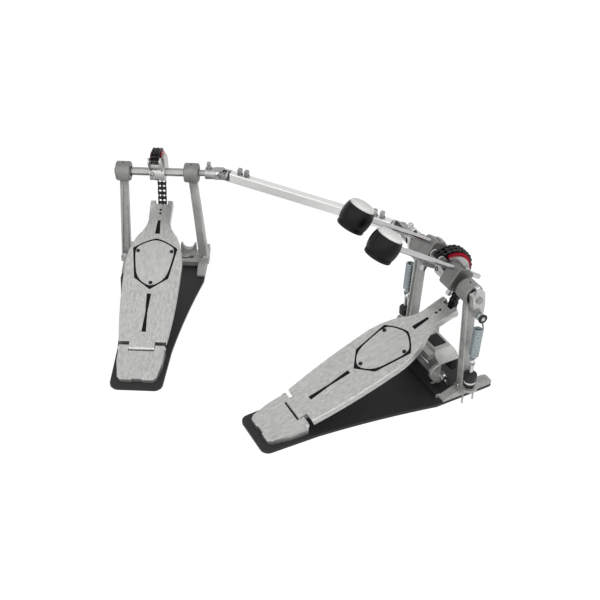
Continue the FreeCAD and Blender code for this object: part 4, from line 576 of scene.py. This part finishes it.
# Hinge pin caps. A turned steel cap is pressed on each end of the heel hinge's pin, where it comes
# out at the sides of the heel plate.
heel_side = 0.0345
cap_profile = [
    (0.0036, 0.0001), (0.0036, 0.0008), (0.0031, 0.0012), (0.0023, 0.0012), (0.0019, 0.0006), (0.0, 0.0006),
]
for side in pedal_frame:
    form = bmesh.new()
    for outward in (1, -1):
        seat = (pedal_frame[side] @ Matrix.Translation((outward * heel_side, hinge_y, hinge_z))
                @ Matrix.Rotation(outward * quarter_turn, 4, "Y"))
        spin_into(form, cap_profile, steps=28, place=seat)
    caps = make_piece(side + "_hinge_pin_caps", form, bright_chrome)
    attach(caps, side + "_base")


# Traction plates. Flat shields of the same metal with a matt blasted face, let into the footboard
# and held by three blackened screws. The pins at the board's heel and toe are bright steel.
plate_face = {
    side: metal_finish("blasted_plate_" + side, dark=(0.38, 0.38, 0.375), light=(0.56, 0.56, 0.55),
                       rough=(0.36, 0.5), grain=300, stretch=4.0, heading=pedal_heading[side],
                       depth=0.00005, metal=0.85)
    for side in pedal_frame
}
black_steel = metal_finish("blackened_steel", dark=(0.018, 0.018, 0.019), light=(0.05, 0.05, 0.052),
                           rough=(0.3, 0.45), grain=900, depth=0.00003)
for side in pedal_frame:
    finish_node(side + "_traction_plate", plate_face[side])
    finish_node(side + "_plate_screws", black_steel, bevel=0.0002)
    finish_node(side + "_footboard_pins", bright_chrome, bevel=0.0002)


# Axles and cams. Hexagonal and round steel bars, nickel plated, carry aluminium cam drums. The
# cam's rim is a separate sector, anodised dark red, that the chain lies on.
nickel = metal_finish("nickel_steel", dark=(0.24, 0.24, 0.235), light=(0.37, 0.37, 0.365),
                      rough=(0.30, 0.42), grain=60, depth=0.000002, metal=0.8)
drum_metal = metal_finish("turned_drum", dark=(0.33, 0.33, 0.325), light=(0.52, 0.52, 0.51),
                          rough=(0.26, 0.4), grain=300, depth=0.00002, metal=0.8)
red_anodised = metal_finish("red_anodised", dark=(0.22, 0.004, 0.014), light=(0.36, 0.008, 0.025),
                            rough=(0.25, 0.38), grain=600, depth=0.00002)
for name in ("right_axle", "slave_axle", "left_axle"):
    finish_node(name, nickel, bevel=0.0003)
axle_height = 0.1847
grub_x = -0.0065
grub_facing = math.radians(167)
grub_profile = [
    (0.0034, 0.0128), (0.0034, 0.0138), (0.0030, 0.0141), (0.0024, 0.0141), (0.0022, 0.0128), (0.0, 0.0128),
]
for side in pedal_frame:
    finish_node(side + "_cam_hub", drum_metal, bevel=0.0005)
    finish_node(side + "_cam", red_anodised, bevel=0.0003)
    form = bmesh.new()
    seat = (pedal_frame[side] @ Matrix.Translation((grub_x, 0, axle_height))
            @ Matrix.Rotation(grub_facing - quarter_turn, 4, "X"))
    spin_into(form, grub_profile, steps=24, place=seat)
    grub = make_piece(side + "_cam_grub_screw", form, black_steel)
    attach(grub, side + "_axle")


# Chains. Double roller chain of 8 mm pitch with waisted plates, blackened and oiled. It hangs from
# the footboard's toe pin, lies on the cam and ends at a pin in the drum's bracket.
chain_black = metal_finish("oiled_black_chain", dark=(0.020, 0.020, 0.020), light=(0.052, 0.052, 0.054),
                           rough=(0.24, 0.4), grain=1300, depth=0.00004)
pitch = 0.008
pitch_radius = 0.0345
pins_on_cam = 11
toe_pin = Vector((0.0149, 0.1085 - axle_height))
toe_reach = toe_pin.length
leaving = math.atan2(toe_pin.y, toe_pin.x) + math.acos(pitch_radius / toe_reach)
leaving_point = Vector((math.cos(leaving), math.sin(leaving))) * pitch_radius
strand_way = (leaving_point - toe_pin).normalized()
straight_links = int((leaving_point - toe_pin).length / pitch)
chain_pins = [toe_pin + strand_way * (pitch * number) for number in range(straight_links + 1)]
left_over = (leaving_point - chain_pins[-1]).length
first_angle = leaving + (pitch - left_over) / pitch_radius
link_turn = 2 * math.asin(pitch / 2 / pitch_radius)
for number in range(pins_on_cam):
    angle = first_angle + number * link_turn
    chain_pins.append(Vector((math.cos(angle), math.sin(angle))) * pitch_radius)
plate_end = 0.0034
plate_waist = 0.0026
plate_edge = 0.00018
edge_share = 0.93
end_points = 11
end_step = 22.4
end_starts = (-112, 68)


def plate_loop():
    """A link plate seen from its side: a round end about each pin and a waist between them."""
    points = []
    for pin_place, start, waist in ((pitch, end_starts[0], plate_waist), (0.0, end_starts[1], -plate_waist)):
        for step in range(end_points):
            angle = math.radians(start + end_step * step)
            points.append((pin_place + plate_end * math.cos(angle), plate_end * math.sin(angle)))
        points.append((pitch / 2, waist))
    return points


def plate_into(shape, low, high, place):
    """Add a link plate between two places across the chain, with its edges broken."""
    rings = []
    for depth, share in (
        (low, edge_share), (low + plate_edge, 1.0), (high - plate_edge, 1.0), (high, edge_share),
    ):
        ring = []
        for along, up in plate_loop():
            from_middle = (along - pitch / 2) * (0.5 + share / 2)
            ring.append(shape.verts.new(place @ Vector((depth, pitch / 2 + from_middle, up * share))))
        rings.append(ring)
    skin(shape, rings)
    shape.faces.new(list(reversed(rings[0])))
    shape.faces.new(rings[-1])


outer_plates = ((-0.0005, 0.0005), (0.0058, 0.0068), (-0.0068, -0.0058))
inner_plates = ((0.00065, 0.00165), (0.00465, 0.00565), (-0.00165, -0.00065), (-0.00565, -0.00465))
pin_profile = [
    (0.0, -0.0071), (0.0008, -0.0070), (0.0011, -0.0067), (0.0011, 0.0067), (0.0008, 0.0070), (0.0, 0.0071),
]
roller_starts = (0.0017, -0.0046)
roller_profile = [
    (0.0012, 0.0), (0.0023, 0.0), (0.0025, 0.0002), (0.0025, 0.0027), (0.0023, 0.0029), (0.0012, 0.0029),
]
lying = Matrix.Rotation(quarter_turn, 4, "Y")
for side in pedal_frame:
    form = bmesh.new()
    for number, (first, last) in enumerate(zip(chain_pins, chain_pins[1:])):
        way = last - first
        link = (pedal_frame[side] @ Matrix.Translation((0, first.x, first.y + axle_height))
                @ Matrix.Rotation(math.atan2(way.y, way.x), 4, "X"))
        is_outer = number % 2 == 1
        plates = outer_plates if is_outer else inner_plates
        for low, high in plates:
            plate_into(form, low, high, link)
        for along in (0.0, pitch):
            if is_outer:
                seat = link @ Matrix.Translation((0, along, 0)) @ lying
                spin_into(form, pin_profile, steps=12, place=seat)
                continue
            for start in roller_starts:
                seat = link @ Matrix.Translation((start, along, 0)) @ lying
                spin_into(form, roller_profile, steps=16, place=seat)
    chain = make_piece(side + "_chain", form, chain_black)
    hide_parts(side + "_chain_wrap", side + "_chain_strand")
    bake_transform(chain)


# Beater hubs and rods. Each hub is a cast block clamped on its axle by a drum-key bolt, with a
# rubber damper in the oval on its face. The rod is a drawn bar, chrome plated, that slides in it.
hub_cast = metal_finish("fine_casting", dark=(0.13, 0.13, 0.125), light=(0.26, 0.26, 0.255),
                        rough=(0.32, 0.48), grain=500, metal=0.7)
damper_rubber = coat_finish("damper_rubber", dark=(0.010, 0.010, 0.010), light=(0.020, 0.020, 0.020),
                            rough=(0.55, 0.7), grain=900, depth=0.00008)
beater_lean = math.radians(56)
lean_back = Matrix.Translation((0, 0, axle_height)) @ Matrix.Rotation(beater_lean, 4, "X")
oval_half_straight = 0.004
oval_end = 0.0025
oval_steps = 32


def oval_into(shape, middle_x, face, section, filled):
    """Add an oval form on a hub's face: pairs of inset from the slot's edge and height over the face."""
    rings = []
    for inset, level in section:
        ring = []
        for step in range(oval_steps):
            angle = 2 * math.pi * (step + 0.5) / oval_steps
            shift = oval_half_straight if math.cos(angle) > 0 else -oval_half_straight
            x = middle_x + shift + (oval_end - inset) * math.cos(angle)
            z = (oval_end - inset) * math.sin(angle)
            ring.append(shape.verts.new(lean_back @ Vector((x, face + level, z))))
        rings.append(ring)
    skin(shape, rings)
    if filled:
        shape.faces.new(rings[-1])


damper_section = [(0.0001, -0.0021), (0.0001, 0.0013), (0.0006, 0.0018), (0.0014, 0.0020)]
rim_section = [
    (-0.0018, 0.0008), (-0.0018, 0.0016), (-0.0013, 0.0022), (-0.0006, 0.0022),
    (-0.0001, 0.0016), (-0.0001, 0.0008),
]
hubs = (
    ("right", 0.025, 0.0205, "primary_axle"),
    ("left", -0.039, 0.0255, "left_axle"),
)
for hand, hub_middle, hub_face, body in hubs:
    finish_node(hand + "_beater_hub", hub_cast, bevel=0.0005)
    finish_node(hand + "_beater_rod", bright_chrome, bevel=0.0003)
    finish_node(hand + "_axle_bolts", bright_chrome, bevel=0.0002)
    form = bmesh.new()
    oval_into(form, hub_middle, hub_face, damper_section, filled=True)
    damper = make_piece(hand + "_hub_damper", form, damper_rubber)
    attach(damper, body)
    form = bmesh.new()
    oval_into(form, hub_middle, hub_face, rim_section, filled=False)
    rim = make_piece(hand + "_damper_rim", form, bright_chrome)
    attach(rim, body)


# Beaters. Moulded black barrels with a lip at the back, pushed on the rods. Each carries a disc of
# pressed white wool felt, domed and a little fuzzy, glued into its mouth.
beater_plastic = coat_finish("beater_plastic", dark=(0.002, 0.002, 0.002), light=(0.006, 0.006, 0.006),
                             rough=(0.28, 0.42), grain=700, depth=0.00004, mirror=0.16)
felt_wool, felt_tree, felt_out = blank_material("white_wool_felt")
felt_shade = felt_tree.nodes.new("ShaderNodeBsdfPrincipled")
felt_shade.inputs["Roughness"].default_value = 0.95
felt_shade.inputs["Sheen Weight"].default_value = 0.25
felt_shade.inputs["Sheen Roughness"].default_value = 0.6
felt_coords = felt_tree.nodes.new("ShaderNodeTexCoord")
felt_fibre = felt_tree.nodes.new("ShaderNodeTexNoise")
felt_fibre.inputs["Scale"].default_value = 900.0
felt_fibre.inputs["Detail"].default_value = 8.0
felt_fibre.inputs["Distortion"].default_value = 1.4
felt_tone = felt_tree.nodes.new("ShaderNodeValToRGB")
felt_tone.color_ramp.elements[0].position = 0.3
felt_tone.color_ramp.elements[0].color = (0.78, 0.775, 0.755, 1)
felt_tone.color_ramp.elements[1].position = 0.62
felt_tone.color_ramp.elements[1].color = (0.92, 0.92, 0.90, 1)
felt_bump = felt_tree.nodes.new("ShaderNodeBump")
felt_bump.inputs["Strength"].default_value = 0.7
felt_bump.inputs["Distance"].default_value = 0.00025
felt_tree.links.new(felt_coords.outputs["Object"], felt_fibre.inputs["Vector"])
felt_tree.links.new(felt_fibre.outputs["Fac"], felt_tone.inputs["Fac"])
felt_tree.links.new(felt_tone.outputs["Color"], felt_shade.inputs["Base Color"])
felt_tree.links.new(felt_fibre.outputs["Fac"], felt_bump.inputs["Height"])
felt_tree.links.new(felt_bump.outputs["Normal"], felt_shade.inputs["Normal"])
felt_tree.links.new(felt_shade.outputs[0], felt_out.inputs["Surface"])
felt_shoulder = 0.0171
felt_side = 0.0143
felt_dome = 0.0051
felt_tip = 0.0194
dome_steps = 8
fuzz_depth = 0.00012
fuzz_scale = 420.0
fuzz_seed = 5
felt_profile = [
    (0.0, 0.0091), (0.0176, 0.0091), (0.0177, 0.0112), (0.0178, 0.0126), (0.0176, 0.0135),
    (felt_shoulder, felt_side),
]
for step in range(1, dome_steps):
    angle = step / dome_steps * quarter_turn
    felt_profile.append((felt_shoulder * math.cos(angle), felt_side + felt_dome * math.sin(angle)))
felt_profile.append((0.0, felt_tip))
beaters = (
    ("right", 0.0225, 0.014, 0.155),
    ("left", -0.0395, 0.019, 0.164),
)
noise.seed_set(fuzz_seed)
for hand, rod_x, offset, reach in beaters:
    finish_node(hand + "_beater_body", beater_plastic, bevel=0.0008)
    seat = lean_back @ Matrix.Translation((rod_x, offset, reach)) @ Matrix.Rotation(-quarter_turn, 4, "X")
    form = bmesh.new()
    spin_into(form, felt_profile, steps=72, place=seat)
    for vert in form.verts:
        vert.co += fuzz_depth * noise.noise_vector(vert.co * fuzz_scale)
    felt = make_piece(hand + "_felt", form, felt_wool, sharp=80.0)
    smooth = felt.modifiers.new("soft_form", "SUBSURF")
    smooth.levels = 1
    smooth.render_levels = 1
    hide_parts(hand + "_beater_felt")
    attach(felt, hand + "_beater")


# Rockers and spools. A cast arm clamped on each axle end pulls its spring through a spool, which
# has a black rubber ring over its rim and a bright screw in the middle.
ring_rubber = coat_finish("spool_rubber", dark=(0.009, 0.009, 0.009), light=(0.020, 0.020, 0.020),
                          rough=(0.45, 0.62), grain=1000, depth=0.00006)
rocker_cast = metal_finish("rocker_casting", dark=(0.40, 0.40, 0.39), light=(0.62, 0.62, 0.605),
                           rough=(0.2, 0.34), grain=300, metal=0.7)
spool_drop = 0.028
spool_swing = math.radians(8)
spool_y = spool_drop * math.sin(spool_swing)
spool_z = axle_height - spool_drop * math.cos(spool_swing)
spool_ring_profile = [
    (0.0058, 0.0), (0.0066, 0.0002), (0.0069, 0.0009), (0.0069, 0.0019), (0.0063, 0.0027),
    (0.0052, 0.0030), (0.0040, 0.0028), (0.0034, 0.0022), (0.0033, 0.0017),
]
spool_screw_profile = [
    (0.0029, 0.0017), (0.0029, 0.0024), (0.0025, 0.0029), (0.0014, 0.0032), (0.0010, 0.0031), (0.0, 0.0024),
]
rockers = (
    ("right", "primary_axle", 1, 0.0833),
    ("left", "left_axle", -1, 0.0933),
)
for hand, body, outward, rim_x in rockers:
    finish_node(hand + "_rocker", rocker_cast, bevel=0.0006)
    seat = (Matrix.Translation((outward * rim_x, spool_y, spool_z))
            @ Matrix.Rotation(outward * quarter_turn, 4, "Y"))
    form = bmesh.new()
    spin_into(form, spool_ring_profile, steps=36, place=seat)
    ring = make_piece(hand + "_spool_ring", form, ring_rubber)
    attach(ring, body)
    form = bmesh.new()
    spin_into(form, spool_screw_profile, steps=28, place=seat)
    screw = make_piece(hand + "_spool_screw", form, bright_chrome)
    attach(screw, body)


# Springs and tension adjusters. Close-wound springs of zinc-plated wire hang between the spool and
# an eye bolt, which black knurled nuts hold in the frame's ear over a white nylon washer.
spring_zinc = metal_finish("zinc_plated_wire", dark=(0.22, 0.255, 0.265), light=(0.36, 0.405, 0.415),
                           rough=(0.24, 0.36), grain=300, depth=0.000005)
nut_plastic = coat_finish("nut_plastic", dark=(0.009, 0.009, 0.009), light=(0.020, 0.020, 0.020),
                          rough=(0.35, 0.5), grain=1200, depth=0.00005)
white_nylon = coat_finish("white_nylon", dark=(0.70, 0.70, 0.68), light=(0.82, 0.82, 0.80),
                          rough=(0.35, 0.5), grain=800, depth=0.00003)
finish_node("spring_nuts", nut_plastic, bevel=0.0005)
finish_node("spring_washers", white_nylon, bevel=0.0004)
finish_node("spring_eye_bolts", bright_chrome, bevel=0.0002)
eye_height = 0.079
spool_point = Vector((0, spool_y, spool_z - eye_height))
spring_span = spool_point.length
wire_radius = 0.00128
wire_sides = 10
coil_radius = 0.00595
coil_start = 0.01175
coil_rise = 0.0027
coil_turns = 17
coil_turn = math.radians(360 * coil_turns + 90)
coil_begin = math.radians(-50)
turn_steps = 20
coil_steps = coil_turns * turn_steps + turn_steps // 4
hook_radius = 0.0045
hook_middle = 0.00685
hook_begin = 50
hook_sweep = 230
hook_steps = 16
loop_radius = 0.00455
shank_lift = 0.001
tail_steps = 7
tail_ease = 1.2


def led(first, heading, last, final):
    """Points of a smooth bend between two places, leaving and arriving along the given headings."""
    reach = (last - first).length * tail_ease
    points = []
    for step in range(1, tail_steps):
        t = step / tail_steps
        points.append(first * (2 * t ** 3 - 3 * t ** 2 + 1) + heading * (reach * (t ** 3 - 2 * t ** 2 + t))
                      + last * (3 * t ** 2 - 2 * t ** 3) + final * (reach * (t ** 3 - t ** 2)))
    return points


hook_points = []
loop_points = []
for step in range(hook_steps + 1):
    swept = hook_sweep * step / hook_steps
    angle = math.radians(hook_begin - swept)
    height = hook_middle + hook_radius * math.sin(angle)
    hook_points.append(Vector((0, hook_radius * math.cos(angle), height)))
    angle = math.radians(swept)
    height = spring_span + loop_radius * math.sin(angle)
    loop_points.append(Vector((0, loop_radius * math.cos(angle), height)))
coil_points = []
for step in range(coil_steps + 1):
    turn = coil_turn * step / coil_steps
    angle = coil_begin + turn
    height = coil_start + coil_rise * turn / (2 * math.pi)
    coil_points.append(Vector((coil_radius * math.cos(angle), coil_radius * math.sin(angle), height)))
shank = Vector((0, loop_radius, (coil_points[-1].z + spring_span) / 2 + shank_lift))
upward = Vector((0, 0, 1))
leaving_coil = (coil_points[-1] - coil_points[-2]).normalized()
entering_coil = (coil_points[1] - coil_points[0]).normalized()
spring_path = (hook_points + led(hook_points[-1], upward, coil_points[0], entering_coil) + coil_points
               + led(coil_points[-1], leaving_coil, shank, upward) + [shank] + loop_points)


def wire_into(shape, path, radius, sides):
    """Add a round wire along a path, with its ends closed."""
    rings = []
    aside = Vector((1, 0, 0))
    for number, point in enumerate(path):
        ahead = path[min(number + 1, len(path) - 1)] - path[max(number - 1, 0)]
        ahead.normalize()
        aside = (aside - ahead * aside.dot(ahead)).normalized()
        other = ahead.cross(aside)
        ring = []
        for step in range(sides):
            angle = 2 * math.pi * step / sides
            ring.append(shape.verts.new(point + (aside * math.cos(angle) + other * math.sin(angle)) * radius))
        rings.append(ring)
    skin(shape, rings)
    shape.faces.new(list(reversed(rings[0])))
    shape.faces.new(rings[-1])


spring_lean = upward.rotation_difference(spool_point.normalized()).to_matrix().to_4x4()
for hand, place in (("right", 0.080), ("left", -0.090)):
    form = bmesh.new()
    hang = Matrix.Translation((place, 0, eye_height)) @ spring_lean
    wire_into(form, [hang @ point for point in spring_path], wire_radius, wire_sides)
    spring = make_piece(hand + "_wound_spring", form, spring_zinc, sharp=80.0)
    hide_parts(hand + "_spring")
    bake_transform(spring)


# Drive shaft. A square aluminium extrusion, brushed along its length, with a steel bar that slides
# in its end. Forged forks and crosses join it to both axles, and drum-key bolts lock its length.
shaft_heading = math.radians(33)
tube_metal = metal_finish("extruded_aluminium", dark=(0.76, 0.76, 0.75), light=(0.84, 0.84, 0.83),
                          rough=(0.28, 0.38), grain=120, stretch=8.0, heading=shaft_heading + quarter_turn,
                          depth=0.00002, metal=0.5)
forged_steel = metal_finish("forged_steel", dark=(0.22, 0.22, 0.22), light=(0.44, 0.44, 0.44),
                            rough=(0.14, 0.26), grain=160, depth=0.00001)
bolt_steel = metal_finish("bolt_steel", dark=(0.20, 0.20, 0.20), light=(0.36, 0.36, 0.36),
                          rough=(0.12, 0.22), grain=240, depth=0.00001)
finish_node("drive_tube", tube_metal)
for name in ("left_fork", "slave_fork", "drive_tube_fork", "drive_rod"):
    finish_node(name, forged_steel, bevel=0.0004)
for name in ("left_cross", "slave_cross"):
    finish_node(name, nickel, bevel=0.0003)
for name in ("drive_tube_bolts", "slave_fork_bolt"):
    finish_node(name, bolt_steel, bevel=0.0002)


# Hoop clamp. A cast jaw that rocks on its wing screw and grips the drum's hoop through a block of
# black rubber, with a rubber cap let into its back. A round cheek with a rim stands on each side.
jaw_cast = metal_finish("jaw_casting", dark=(0.28, 0.28, 0.27), light=(0.50, 0.50, 0.485),
                        rough=(0.26, 0.4), grain=300, metal=0.5)
clamp_rubber = coat_finish("clamp_rubber", dark=(0.012, 0.012, 0.012), light=(0.026, 0.026, 0.026),
                           rough=(0.6, 0.8), grain=900, depth=0.0001)
finish_node("clamp_jaw", jaw_cast, bevel=0.0012)
finish_node("clamp_pads", clamp_rubber, bevel=0.0006)
finish_node("clamp_wing_screw", bright_chrome, bevel=0.0004)
cheek_outline = [
    (-0.0222, 0.0483), (-0.0262, 0.0478), (-0.0300, 0.0462), (-0.0332, 0.0436), (-0.0356, 0.0402),
    (-0.0369, 0.0362), (-0.0371, 0.0320), (-0.0362, 0.0278), (-0.0343, 0.0240), (-0.0315, 0.0206),
    (-0.0280, 0.0177), (-0.0240, 0.0155), (-0.0222, 0.0149),
]
cheek_middle = Vector((-0.0222, 0.0316))
cheek_inner = 0.0322
cheek_outer = 0.0378
cheek_edge = 0.0007
cheek_rim = 0.0024
cheek_slope = 0.0016
cheek_dish = 0.0012
cheek_section = (
    (0.0, cheek_inner), (0.0, cheek_outer - cheek_edge), (cheek_edge, cheek_outer),
    (cheek_rim, cheek_outer), (cheek_rim + cheek_slope, cheek_outer - cheek_dish),
)
form = bmesh.new()
for outward in (1, -1):
    rings = []
    for inset, reach_x in cheek_section:
        ring = []
        for y, z in cheek_outline:
            spoke = Vector((y, z)) - cheek_middle
            point = cheek_middle + spoke * (1 - inset / spoke.length)
            ring.append(form.verts.new((outward * reach_x, point.x, point.y)))
        rings.append(ring)
    skin(form, rings)
    form.faces.new(rings[0])
    form.faces.new(rings[-1])
cheeks = make_piece("jaw_cheeks", form, jaw_cast, sharp=40.0)
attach(cheeks, "clamp_jaw")
